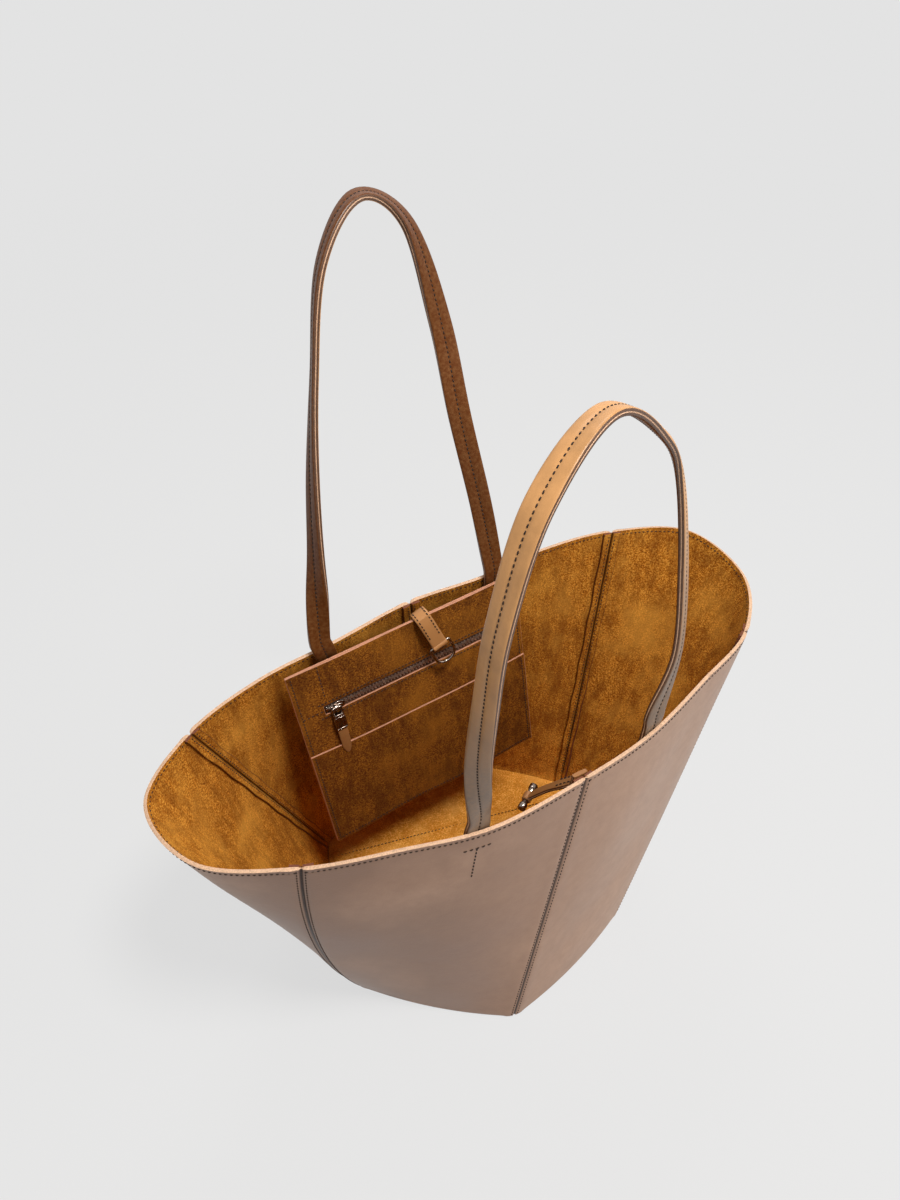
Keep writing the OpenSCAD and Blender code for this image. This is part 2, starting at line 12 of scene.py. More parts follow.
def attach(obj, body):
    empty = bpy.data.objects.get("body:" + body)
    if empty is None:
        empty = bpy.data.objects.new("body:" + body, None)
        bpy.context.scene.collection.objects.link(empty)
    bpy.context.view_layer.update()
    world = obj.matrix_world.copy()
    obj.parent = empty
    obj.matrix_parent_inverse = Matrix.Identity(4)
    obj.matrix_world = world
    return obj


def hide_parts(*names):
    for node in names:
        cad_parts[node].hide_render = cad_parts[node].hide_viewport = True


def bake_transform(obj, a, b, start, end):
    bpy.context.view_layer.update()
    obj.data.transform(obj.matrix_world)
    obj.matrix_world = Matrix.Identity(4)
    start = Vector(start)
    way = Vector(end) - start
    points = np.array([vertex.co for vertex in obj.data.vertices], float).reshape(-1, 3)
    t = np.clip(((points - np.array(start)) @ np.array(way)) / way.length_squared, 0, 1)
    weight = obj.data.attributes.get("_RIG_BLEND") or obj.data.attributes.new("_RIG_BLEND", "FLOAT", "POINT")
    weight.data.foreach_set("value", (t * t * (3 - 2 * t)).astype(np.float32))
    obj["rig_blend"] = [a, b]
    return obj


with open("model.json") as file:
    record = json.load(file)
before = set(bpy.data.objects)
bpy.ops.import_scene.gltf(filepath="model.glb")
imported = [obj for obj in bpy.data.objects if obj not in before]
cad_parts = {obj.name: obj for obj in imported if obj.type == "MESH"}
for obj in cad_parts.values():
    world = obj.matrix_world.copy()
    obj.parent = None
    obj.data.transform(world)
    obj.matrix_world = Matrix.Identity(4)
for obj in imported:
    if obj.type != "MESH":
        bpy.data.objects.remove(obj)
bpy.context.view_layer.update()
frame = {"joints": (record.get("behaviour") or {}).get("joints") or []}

bl_info = {
    "name": "Trapeze tote bag",
    "version": (1, 0, 0),
    "blender": (4, 5, 0),
    "location": "3D View > Sidebar > Tote bag",
    "description": "Builds the leather, stitching and fittings of a trapeze tote bag",
    "category": "Object",
}

# Sizes that the bag is cut to, in metres. They repeat the part's own source.
LEATHER_T = 0.0022
SEWN_GAP = 0.0004
RIM_H = 0.255
ALLOWANCE_W = 0.0065
STRAP_W = 0.0145
STRAP_T = 0.004
FOOT_IN = LEATHER_T + SEWN_GAP
FOOT_DEPTH = 0.030
BEND_RISE = 0.005
STRAP_STEP = 0.003
TAB_W = 0.011
TAB_T = 0.003
TAB_IN = 2 * LEATHER_T + SEWN_GAP
FRONT_SEAM = 0
BACK_SEAM = 3
PANELS = 6
# Gap that keeps two layers that lie on each other from sharing a face
HAIR = 0.00005
# Depths that the outer leather is pressed in or stands out by
SEAM_GROOVE = 0.0016
SEAM_SWELL = 0.00035
RIM_NOTCH = 0.0011
SEAM_DENT = 0.00022
RIM_DENT = 0.0002
# Rim points to a panel, in the outline below
RIM_STEPS = 3

# Mouth outline, three points to a panel from the front seam on
RIM_SHAPE = np.array([
    (0.20, -0.85, 1.00), (0.44, -0.66, 0.985), (0.68, -0.38, 0.98),
    (0.905, -0.08, 0.973), (1.02, 0.385, 0.972), (0.93, 0.87, 0.983),
    (0.663, 0.99, 0.995), (0.402, 0.92, 1.01), (0.155, 0.763, 1.02),
    (-0.103, 0.686, 1.017), (-0.355, 0.527, 1.003), (-0.614, 0.385, 0.985),
    (-0.837, 0.125, 0.976), (-0.976, -0.289, 0.976), (-0.864, -0.747, 0.986),
    (-0.60, -0.935, 0.992), (-0.338, -1.0, 1.008), (-0.087, -1.008, 1.008),
]) * (0.210, 0.106, RIM_H)
BASE_CORNERS = np.array([
    (0, -0.1175), (0.1065, -0.062), (0.1065, 0.062),
    (0, 0.1175), (-0.1065, 0.062), (-0.1065, -0.062),
])
# How far the floor's sides bow out, and how far one seam bulges halfway up, to its own side
FLOOR_BOW = 0.005
BELLY = 0.012
BELLY_SEAM = 5
BELLY_WAY = np.array([math.cos(math.radians(210)), math.sin(math.radians(210)), 0])

# Arch of each strap: shares of half the feet's distance and of the rise,
# millimetres out of the arch's plane, and degrees of twist
FRONT_ARCH = np.array([
    (-1, 0, 0, 0), (-1, 0.04, 0, 0), (-1.087, 0.226, -5, 52), (-1.14, 0.448, -13, 76),
    (-1.101, 0.67, -17, 84), (-0.781, 0.88, -12, 84), (-0.09, 0.962, 2, 106),
    (0.614, 0.832, 12, 78), (0.959, 0.695, 15, 48), (1.146, 0.456, 11, 36),
    (1.169, 0.214, 3, 28), (1, 0.04, 0, 0), (1, 0, 0, 0),
])
BACK_ARCH = np.array([
    (-1, 0, 0, 0), (-1, 0.04, 0, 0), (-0.848, 0.232, -5, 68), (-0.663, 0.46, -10, 90),
    (-0.422, 0.683, -13, 104), (-0.111, 0.899, -11, 99), (0.38, 1, -2, 84),
    (0.883, 0.905, 14, 48), (1.045, 0.67, 18, 4), (0.983, 0.447, 6, -18),
    (0.99, 0.221, 0, -24), (1, 0.04, 0, 0), (1, 0, 0, 0),
])
FRONT_RISE, FRONT_LEAN = 0.244, 3
BACK_RISE, BACK_LEAN = 0.254, 16

# The pouch, drawn with its front face at y = 0 and its top at z = 0
POUCH_W, POUCH_H, POUCH_T = 0.173, 0.169, 0.0013
POUCH_D = 0.00395
SLIP_DROP = 0.075
ZIP_DROP = 0.040
SLOT_START, SLOT_L, SLOT_H = 0.019, 0.141, 0.008
CHAIN_W, CHAIN_T, TOOTH_PITCH = 0.0038, 0.002, 0.0024
CHAIN_Y = 0.0015
PLATE_FRONT = -0.0007
BAR_Y = -0.00205
SLIDER_X = 0.0265
# The puller, drawn with its bar at z = 0
COLLAR_TOP = -0.0058
COLLAR_L = 0.014
TAG_BACK = -0.0016
TAG_T = 0.0016
TAG_L = 0.024
POUCH_PLACE = (
    Matrix.Translation((-0.1125, 0.0346, 0.251))
    @ Matrix.Rotation(math.radians(13.7), 4, "Z")
    @ Matrix.Rotation(math.radians(-3), 4, "Y")
    @ Matrix.Rotation(math.radians(-8), 4, "X")
)
SLIDER_PLACE = POUCH_PLACE @ Matrix.Translation((SLIDER_X, 0, -ZIP_DROP))
TAB_TURN = math.radians(16)
TAB_PLACE = (
    POUCH_PLACE @ Matrix.Translation((0.098, 0, 0))
    @ Matrix.Rotation(-TAB_TURN, 4, "Y")
)
RING_BAR = (-0.006, -0.025)
TAB_KNEE = (-0.0024, 0.0024)
RING_W, RING_H, RING_WIRE = 0.0134, 0.0166, 0.001
SLEEVE_GAP = 0.00008
TOGGLE_PLACE = (
    Matrix.Translation((0.017, -0.0655, 0.210)) @ Matrix.Rotation(math.radians(45), 4, "Z")
)
TOGGLE_L, TOGGLE_R, CAP_R, CAP_L = 0.020, 0.002, 0.0026, 0.0042


def linear(hex_colour):
    """Turns an sRGB hex colour into the linear values that Blender works in."""
    parts = [int(hex_colour[i:i + 2], 16) / 255 for i in (1, 3, 5)]
    return [c / 12.92 if c <= 0.04045 else ((c + 0.055) / 1.055) ** 2.4 for c in parts]


def colour_property(label, text, hex_colour):
    """A colour of the bag that a user may change."""
    return FloatVectorProperty(
        name=label, description=text, subtype="COLOR", min=0, max=1,
        default=linear(hex_colour),
    )


def size_property(label, text, metres):
    """A length of the bag that a user may change."""
    return FloatProperty(
        name=label, description=text, default=metres, min=0,
        unit="LENGTH", subtype="DISTANCE", precision=5,
    )


class BagSizes(bpy.types.PropertyGroup):
    """Sizes of the bag's sewing and leather"""
    seam_pitch: size_property("Seam stitch", "Pitch of the stitches on seams and rim", 0.0031)
    strap_pitch: size_property("Strap stitch", "Pitch of the stitches on straps and tabs", 0.0029)
    pouch_pitch: size_property("Pouch stitch", "Pitch of the stitches on the pouch", 0.0026)
    thread_r: size_property("Thread", "Radius of the sewing thread", 0.00042)
    rim_row: size_property("Rim row", "Distance from the rim down to its stitches", 0.003)
    seam_row: size_property("Seam row", "Distance from a seam to each row beside it", 0.0024)
    sag: size_property("Sag", "How far a panel stands in or out between its seams", 0.0022)
    grain: size_property("Grain", "Width of one pebble of the leather's grain", 0.0011)
    nap: size_property("Nap", "Width of one tuft of the suede's nap", 0.0011)
    tooth_count: IntProperty(
        name="Zip teeth", description="Teeth on each side of the zip", default=56, min=2)


class BagColours(bpy.types.PropertyGroup):
    """Colours of the bag's leather, thread, metal and stage"""
    outside: colour_property("Outside", "Smooth outer leather", "#84624B")
    # Pinker tone of the outer leather, which is also painted light where the right-hand panels turn lighter
    outside_pink_and_lit: colour_property("Outside, warm", "Where the outer leather runs pinker", "#AC8971")
    outside_deep: colour_property("Outside, deep", "Where the outer leather runs darker", "#775643")
    suede: colour_property("Suede", "Inner suede", "#B9711E")
    suede_light: colour_property("Suede, light", "Brushed-up nap", "#E2A242")
    suede_deep: colour_property("Suede, deep", "Pressed-down nap", "#723B0A")
    pouch: colour_property("Pouch", "Suede of the pouch", "#7C4714")
    pouch_light: colour_property("Pouch, light", "Brushed-up nap of the pouch", "#A5691F")
    pouch_deep: colour_property("Pouch, deep", "Pressed-down nap of the pouch", "#4A2308")
    strap_tan: colour_property("Strap", "Warm leather of the straps and tabs", "#C4905B")
    # Painted grey sheen and painted shade low on the front strap, nearing the rim
    strap_low_sheen_and_shade: colour_property("Strap, low", "Front strap where it nears the rim", "#6E5B4C")
    # Painted shade low on the back strap, nearing the rim
    strap_low_shade: colour_property("Strap, back", "Back strap where it nears the rim", "#8A5A32")
    toggle_brown: colour_property("Toggle strap", "Leather that holds the toggle", "#8E5F36")
    # Painted light: the floor's suede is given a lighter colour than the walls' suede, where it faces the
    # lamp
    floor: colour_property("Floor", "Suede of the floor, least handled", "#DC9233")
    floor_light: colour_property("Floor, light", "Raised tufts of the floor's suede", "#F2B860")
    # Painted shade: the darker colour of the strap face turned from the light
    strap_shaded_face: colour_property("Strap, inner", "Inner face of the straps", "#5B3113")
    tab: colour_property("Tab", "Leather of the ring's tab", "#AE7A49")
    raw_edge: colour_property("Cut edge", "Cut edge of the leather", "#CFA888")
    pouch_edge: colour_property("Pouch edge", "Cut edge of the pouch", "#BC8263")
    # The cut edge's own colour, darkened further as painted shade where the turned-in edges lie against the
    # wall
    inside_cut_edge_shade: colour_property("Inside edge", "Cut edge of the turned-in seams", "#6A3517")
    dark_edge: colour_property("Painted edge", "Painted edge of the straps", "#4A2F1C")
    # Painted shade: the colour of the outer seam grooves, where shade falls in the narrow gap
    crease: colour_property("Crease", "Depth of the outer seams", "#25140C")
    thread: colour_property("Thread", "Sewing thread", "#22160F")
    tape: colour_property("Zip tape", "Woven zip tape", "#402C20")
    metal: colour_property("Metal", "Polished dark nickel", "#A09288")
    teeth: colour_property("Teeth", "Nickel-silver zip teeth", "#F0E4D8")
    stage: colour_property("Stage", "Floor and backdrop", "#E3E3E3")


def sizes():
    """The bag's sizes, as the user has set them."""
    return bpy.context.scene.bag_sizes


def colours():
    """The bag's colours, as the user has set them."""
    return bpy.context.scene.bag_colours


# The walls' surface

def catmull(a, b, c, d, w):
    """Catmull-Rom curve from b to c as w goes from 0 to 1."""
    return 0.5 * (2 * b + (c - a) * w + (2 * a - 5 * b + 4 * c - d) * w ** 2
                  + (3 * b - a - 3 * c + d) * w ** 3)


def rim(s):
    """Point of the mouth's outline, where s counts seams round the bag."""
    u = np.asarray(s, float) * RIM_STEPS
    k = np.floor(u).astype(int)
    a, b, c, d = (RIM_SHAPE[(k + i) % len(RIM_SHAPE)] for i in (-1, 0, 1, 2))
    return catmull(a, b, c, d, (u - k)[..., None])


def base(s):
    """Point of the floor's outline, bowed out a little between its corners."""
    s = np.asarray(s, float)
    k = np.floor(s).astype(int)
    w = (s - k)[..., None]
    a, b = BASE_CORNERS[k % PANELS], BASE_CORNERS[(k + 1) % PANELS]
    out = np.stack([(b - a)[..., 1], -(b - a)[..., 0]], -1)
    out = out / np.linalg.norm(out, axis=-1, keepdims=True)
    p = a * (1 - w) + b * w + out * FLOOR_BOW * 4 * w * (1 - w)
    return np.concatenate([p, np.full(p.shape[:-1] + (1,), LEATHER_T)], -1)


def wall(s, t):
    """Outer face of the wall: s counts seams round the bag, t goes from floor to rim."""
    s, t = np.broadcast_arrays(np.asarray(s, float), np.asarray(t, float))
    near = np.maximum(0, 1 - np.abs(s % PANELS - BELLY_SEAM))
    belly = BELLY * 4 * t * (1 - t) * np.sin(np.pi / 2 * near) ** 2
    return (base(s) * (1 - t)[..., None] + rim(s) * t[..., None]
            + belly[..., None] * BELLY_WAY)


def unit(v):
    """Vectors scaled to a length of 1."""
    return v / np.linalg.norm(v, axis=-1, keepdims=True)


def wall_in(s, t, nudge=0.02):
    """Direction into the bag, square to the wall."""
    s, t = np.broadcast_arrays(np.asarray(s, float), np.asarray(t, float))
    n = np.cross(wall(s, t + nudge) - wall(s, t - nudge),
                 wall(s + nudge, t) - wall(s - nudge, t))
    return unit(np.where((t <= 0)[..., None], n * (1, 1, 0), n))


def wall_at(s, t, depth):
    """Point that deep inside the wall's outer face."""
    depth = np.broadcast_to(np.asarray(depth, float), np.broadcast_shapes(
        np.shape(s), np.shape(t), np.shape(depth)))
    return wall(s, t) + wall_in(s, t) * depth[..., None]


def rim_length():
    """Length of the mouth's outline."""
    per_panel = 8
    p = rim(np.arange(PANELS * per_panel + 1) / per_panel)
    return float(np.linalg.norm(np.diff(p, axis=0), axis=1).sum())


PANEL_TOP = rim_length() / PANELS
# Places of the strap feet along the rim, measured from the nearer seam
FEET = {
    "front_left": FRONT_SEAM - 0.066 / PANEL_TOP,
    "front_right": FRONT_SEAM + 0.061 / PANEL_TOP,
    "back_left": BACK_SEAM + 0.067 / PANEL_TOP,
    "back_right": BACK_SEAM - 0.063 / PANEL_TOP,
}


def below_rim(depth):
    """Height share of a place that far below the rim."""
    return 1 - depth / RIM_H


def panel_width(seam, t):
    """Width of the panel after that seam, at each height share."""
    low = np.linalg.norm(base(seam + 1.0) - base(float(seam)))
    return low * (1 - t) + PANEL_TOP * t


def bump(x, centre, width):
    """1 at the centre, falling to 0 on both sides of it."""
    return np.exp(-((x - centre) / width) ** 2)


def fade(x, low, high):
    """0 below low, 1 above high and smooth between them."""
    w = np.clip((x - low) / (high - low), 0, 1)
    return w * w * (3 - 2 * w)


def lean_in(s, t):
    """How far soft leather stands in from the taut wall, in slow waves unlike in each panel."""
    w = s - np.floor(s)
    k = np.floor(s + 1e-9) % PANELS
    hold = np.sin(np.pi * w) ** 0.8 * np.sin(np.pi * np.clip(t, 0, 1)) * (1 - fade(t, 0.8, 0.96))
    slow = np.sin(2 * np.pi * (0.55 * w + 0.62 * t + 0.37 * k + 0.1))
    quick = np.sin(2 * np.pi * (1.15 * w - 0.85 * t + 0.23 * k))
    low = bump(t, 0.1, 0.09) * np.cos(2 * np.pi * (1.6 * w + 0.31 * k))
    return sizes().sag * hold * (0.75 * slow + 0.3 * quick + 0.45 * low)


# Meshes and pieces

def mesh_object(name, points, faces, slots, materials):
    """A mesh object in the bag's frame, with one material index for each face."""
    mesh = bpy.data.meshes.new(name)
    mesh.from_pydata([tuple(map(float, p)) for p in points], [], faces)
    for m in materials:
        mesh.materials.append(m)
    mesh.polygons.foreach_set("material_index", slots)
    mesh.polygons.foreach_set("use_smooth", [True] * len(faces))
    mesh.validate()
    mesh.update()
    obj = bpy.data.objects.new(name, mesh)
    bpy.context.scene.collection.objects.link(obj)
    return obj


def store(obj, name, values):
    """Keeps one number for each point of a mesh, for its material to read."""
    mesh = obj.data
    if name in mesh.attributes:
        mesh.attributes.remove(mesh.attributes[name])
    kept = mesh.attributes.new(name, "FLOAT", "POINT")
    kept.data.foreach_set("value", np.asarray(values, np.float32).ravel())


def settle(obj, bevel=0.0, segments=2, angle=40, slot=-1):
    """Turns the object's modifiers into plain mesh, after cleaning and bevelling it."""
    work = bmesh.new()
    work.from_mesh(obj.data)
    bmesh.ops.remove_doubles(work, verts=work.verts, dist=1e-7)
    loose = [v for v in work.verts if not v.link_faces]
    bmesh.ops.delete(work, geom=loose, context="VERTS")
    bmesh.ops.recalc_face_normals(work, faces=work.faces)
    work.to_mesh(obj.data)
    work.free()
    if bevel:
        m = obj.modifiers.new("edges", "BEVEL")
        m.width = bevel
        m.segments = segments
        m.limit_method = "ANGLE"
        m.angle_limit = math.radians(angle)
        m.material = slot
    if obj.modifiers:
        bpy.context.view_layer.update()
        got = obj.evaluated_get(bpy.context.evaluated_depsgraph_get())
        mesh = bpy.data.meshes.new_from_object(got)
        old = obj.data
        obj.modifiers.clear()
        obj.data = mesh
        bpy.data.meshes.remove(old)
        obj.data.name = obj.name
    obj.data.polygons.foreach_set("use_smooth", [True] * len(obj.data.polygons))
    obj.data.set_sharp_from_angle(angle=math.radians(angle))
    return obj


def join(name, objects):
    """Joins meshes into one piece."""
    slots, seam_shades = [], []
    work = bmesh.new()
    for o in objects:
        held = np.zeros(len(o.data.vertices), np.float32)
        if "crease" in o.data.attributes:
            o.data.attributes["crease"].data.foreach_get("value", held)
        seam_shades.append(held)
        part = bmesh.new()
        part.from_mesh(o.data)
        slot_of = []
        for m in o.data.materials:
            if m not in slots:
                slots.append(m)
            slot_of.append(slots.index(m))
        for f in part.faces:
            f.material_index = slot_of[f.material_index]
        mesh = bpy.data.meshes.new("part")
        part.to_mesh(mesh)
        part.free()
        work.from_mesh(mesh)
        bpy.data.meshes.remove(mesh)
    mesh = bpy.data.meshes.new(name)
    work.to_mesh(mesh)
    work.free()
    for m in slots:
        mesh.materials.append(m)
    for o in objects:
        bpy.data.objects.remove(o)
    obj = bpy.data.objects.new(name, mesh)
    bpy.context.scene.collection.objects.link(obj)
    store(obj, "crease", np.concatenate(seam_shades))
    mesh.polygons.foreach_set("use_smooth", [True] * len(mesh.polygons))
    mesh.set_sharp_from_angle(angle=math.radians(40))
    return obj


def leather_sheet(name, front, back, materials, hole=None, crease=None):
    """A closed sheet between two grids of points. Materials: front, back, cut edge."""
    rows, cols = front.shape[:2]
    count = rows * cols
    faces, slots, rim_edges = [], [], {}
    for j in range(rows - 1):
        for i in range(cols - 1):
            if hole is not None and hole[j, i]:
                continue
            a = j * cols + i
            q = (a, a + 1, a + cols + 1, a + cols)
            faces.append(q)
            faces.append(tuple(count + v for v in reversed(q)))
            slots += [0, 1]
            for e in zip(q, q[1:] + q[:1]):
                if rim_edges.pop(e[::-1], None) is None:
                    rim_edges[e] = True
    for a, b in rim_edges:
        faces.append((b, a, a + count, b + count))
        slots.append(2)
    points = np.concatenate([front.reshape(-1, 3), back.reshape(-1, 3)])
    obj = mesh_object(name, points, faces, slots, materials)
    if crease is not None:
        store(obj, "crease", np.concatenate([crease.ravel(), crease.ravel()]))
    return obj


def swept(name, rings, side_slots, materials, closed=False):
    """A tube through rings of points, with its ends filled unless it is closed."""
    rings = np.asarray(rings)
    count, sides = rings.shape[:2]
    faces, slots = [], []
    for j in range(count if closed else count - 1):
        k = (j + 1) % count
        for i in range(sides):
            n = (i + 1) % sides
            faces.append((j * sides + i, j * sides + n, k * sides + n, k * sides + i))
            slots.append(side_slots[i % len(side_slots)])
    if not closed:
        faces.append(tuple(reversed(range(sides))))
        faces.append(tuple((count - 1) * sides + i for i in range(sides)))
        slots += [side_slots[0], side_slots[0]]
    return mesh_object(name, rings.reshape(-1, 3), faces, slots, materials)


def wire(name, path, radius, material, closed=False, sides=14):
    """A round wire along a path."""
    path = np.asarray(path, float)
    if closed:
        way = np.roll(path, -1, axis=0) - np.roll(path, 1, axis=0)
    else:
        way = np.gradient(path, axis=0)
    way = unit(way)
    flat = unit(np.cross(path[1] - path[0], path[len(path) // 3] - path[0]) + 1e-9)
    side = unit(np.cross(way, flat))
    over = np.cross(side, way)
    a = np.arange(sides) * 2 * np.pi / sides
    ring = path[:, None] + radius * (
        np.cos(a)[None, :, None] * side[:, None] + np.sin(a)[None, :, None] * over[:, None])
    return settle(swept(name, ring, [0], [material], closed), angle=60)


def plate(name, outline, low, high, place, material, bevel=0.0003):
    """An outline in x and z given a depth in y, with soft edges, set in its place."""
    n = len(outline)
    points = [(x, low, z) for x, z in outline] + [(x, high, z) for x, z in outline]
    faces = [tuple(range(n)), tuple(reversed(range(n, 2 * n)))]
    faces += [(i, i + n, (i + 1) % n + n, (i + 1) % n) for i in range(n)]
    obj = mesh_object(name, points, faces, [0] * len(faces), [material])
    settle(obj, bevel=bevel, segments=3, angle=30)
    obj.data.transform(place)
    return obj


def turned(name, profile, place, material, sides=32):
    """A round piece turned about x from pairs of place along x and radius."""
    a = np.arange(sides) * 2 * np.pi / sides
    rings = [[(x, r * math.cos(b), r * math.sin(b)) for b in a] for x, r in profile]
    obj = settle(swept(name, rings, [0], [material]), angle=50)
    obj.data.transform(place)
    return obj


def finish_piece(obj, body, slot, *nodes):
    """Makes a finished piece ride on its body and stand for its nodes."""
    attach(obj, body)
    if nodes:
        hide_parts(*nodes)


# Materials

def add(tree, kind, settings=None, inputs=None):
    """Adds a node, sets its settings and its sockets, and links a socket given a socket."""
    node = tree.nodes.new(kind)
    for key, value in (settings or {}).items():
        setattr(node, key, value)
    for key, value in (inputs or {}).items():
        if isinstance(value, bpy.types.NodeSocket):
            tree.links.new(value, node.inputs[key])
        else:
            node.inputs[key].default_value = value
    return node


def new_material(name):
    """An empty material with its output node."""
    material = bpy.data.materials.new(name)
    material.use_nodes = True
    material.node_tree.nodes.clear()
    return material, material.node_tree


def rgba(colour):
    """A colour with full opacity."""
    return (*colour, 1)


def mix(tree, factor, a, b, blend="MIX"):
    """Mixes two colours."""
    node = add(tree, "ShaderNodeMix", {"data_type": "RGBA", "blend_type": blend},
               {0: factor, 6: a, 7: b})
    return node.outputs[2]


def ramp(tree, factor, *stops):
    """A colour ramp through pairs of place and colour."""
    node = add(tree, "ShaderNodeValToRGB", None, {"Fac": factor})
    elements = node.color_ramp.elements
    while len(elements) < len(stops):
        elements.new(0.5)
    for element, (place, colour) in zip(elements, stops):
        element.position = place
        element.color = rgba(colour) if len(colour) == 3 else colour
    return node.outputs["Color"]


def noise(tree, where, size, detail=2.0, rough=0.5):
    """Noise whose features are about that many metres wide."""
    return add(tree, "ShaderNodeTexNoise", None, {
        "Vector": where, "Scale": 1 / size, "Detail": detail, "Roughness": rough,
    }).outputs["Fac"]


def remap(tree, value, low, high, to_low, to_high):
    """Turns one range of values into another."""
    return add(tree, "ShaderNodeMapRange", None, {
        "Value": value, "From Min": low, "From Max": high, "To Min": to_low, "To Max": to_high,
    }).outputs["Result"]


def raised(tree, height, distance, strength=1.0, normal=None):
    """Bump from a pattern, on top of another bump where one is given."""
    inputs = {"Height": height, "Distance": distance, "Strength": strength}
    if normal is not None:
        inputs["Normal"] = normal
    return add(tree, "ShaderNodeBump", None, inputs).outputs["Normal"]


def shade(material, tree, inputs):
    """Ends a material in one Principled shader."""
    shader = add(tree, "ShaderNodeBsdfPrincipled", None, inputs)
    add(tree, "ShaderNodeOutputMaterial", None, {"Surface": shader.outputs["BSDF"]})
    return material


def object_coords(tree):
    """Place on the piece, in metres of the bag's frame."""
    return add(tree, "ShaderNodeTexCoord").outputs["Object"]


def darken_in_seam_shade(tree, colour, dark):
    """Darkens a colour where its mesh holds painted shade: in the outer seam grooves and along the turned-in
    seam edges.
    """
    crease = add(tree, "ShaderNodeAttribute", {"attribute_name": "crease"}).outputs["Fac"]
    return mix(tree, remap(tree, crease, 0.05, 0.75, 0, 0.92), colour, rgba(dark))


def milled_calfskin():
    """Milled calfskin, drum dyed: a fine pebbled grain under a soft, cool sheen."""
    c = colours()
    material, tree = new_material("milled_calfskin")
    where = object_coords(tree)
    cloud = noise(tree, where, 0.11, 3, 0.5)
    colour = ramp(tree, cloud, (0.25, c.outside_deep), (0.5, c.outside), (0.8, c.outside_pink_and_lit))
    # Painted light: the outer leather turns lighter and pinker towards the right-hand panels, where the
    # light falls
    x = add(tree, "ShaderNodeSeparateXYZ", None, {0: where}).outputs["X"]
    warm = remap(tree, x, -0.07, 0.09, 0, 0.8)
    colour = mix(tree, warm, colour, rgba(c.outside_pink_and_lit))
    # Faint scuffs and pulled-up patches a few millimetres wide
    scuff = noise(tree, where, 0.007, 4, 0.62)
    colour = mix(tree, remap(tree, scuff, 0.35, 0.75, 0, 0.3), colour, rgba(c.outside_deep))
    # Painted shade in the seam grooves, where the mesh's values say
    colour = darken_in_seam_shade(tree, colour, c.crease)
    pebble = add(tree, "ShaderNodeTexVoronoi", {"feature": "SMOOTH_F1"}, {
        "Vector": where, "Scale": 1 / sizes().grain, "Smoothness": 0.5}).outputs["Distance"]
    pores = noise(tree, where, 0.0004, 2)
    normal = raised(tree, pebble, 0.00009, 0.55)
    normal = raised(tree, pores, 0.00004, 0.5, normal)
    normal = raised(tree, noise(tree, where, 0.02, 2), 0.0006, 0.35, normal)
    rough = remap(tree, cloud, 0.3, 0.7, 0.36, 0.5)
    return shade(material, tree, {
        "Base Color": colour, "Roughness": rough, "Normal": normal, "IOR": 1.5,
        "Specular IOR Level": 0.36, "Coat Weight": 0.05, "Coat Roughness": 0.4,
    })


def suede(name, mid, light, deep):
    """Split suede, brushed: a short nap that scatters light and holds darker strokes."""
    material, tree = new_material(name)
    where = object_coords(tree)
    nap = noise(tree, where, sizes().nap, 3, 0.7)
    # Tufts are drawn over a millimetre wide, which is coarser than real nap, to show
    colour = ramp(tree, nap, (0.37, deep), (0.5, mid), (0.63, light))
    turned_way = add(tree, "ShaderNodeMapping", None, {
        "Vector": where, "Rotation": (0.2, 0.5, 0.4), "Scale": (1.0, 1.0, 0.22)}).outputs[0]
    strokes = noise(tree, turned_way, 0.007, 4, 0.65)
    patches = noise(tree, where, 0.045, 4, 0.6)
    colour = mix(tree, remap(tree, strokes, 0.42, 0.62, 0, 0.6), colour, rgba(deep))
    colour = mix(tree, remap(tree, patches, 0.47, 0.68, 0, 0.5), colour, rgba(light))
    # Painted shade along the fold and the raw edge of each turned-in seam
    colour = darken_in_seam_shade(tree, colour, [v * 0.35 for v in deep])
    normal = raised(tree, nap, 0.0008, 0.75)
    return shade(material, tree, {
        "Base Color": colour, "Roughness": 0.95, "Normal": normal, "IOR": 1.4,
        "Specular IOR Level": 0.15, "Sheen Weight": 0.25, "Sheen Roughness": 0.45,
        "Sheen Tint": rgba(light),
    })


def cut_edge(name, tint):
    """Cut edge of veg-retanned hide: pale, fibrous and a little burnished."""
    material, tree = new_material(name)
    where = object_coords(tree)
    fibre = noise(tree, where, 0.0009, 3, 0.6)
    worn = noise(tree, where, 0.014, 3)
    pale = [min(1, v * 1.12) for v in tint]
    low = [v * 0.62 for v in tint]
    colour = ramp(tree, fibre, (0.3, low), (0.55, tint), (0.75, pale))
    colour = mix(tree, remap(tree, worn, 0.5, 0.75, 0, 0.35), colour, rgba(low))
    return shade(material, tree, {
        "Base Color": colour, "Roughness": 0.62,
        "Normal": raised(tree, fibre, 0.00015, 0.6), "IOR": 1.45,
    })


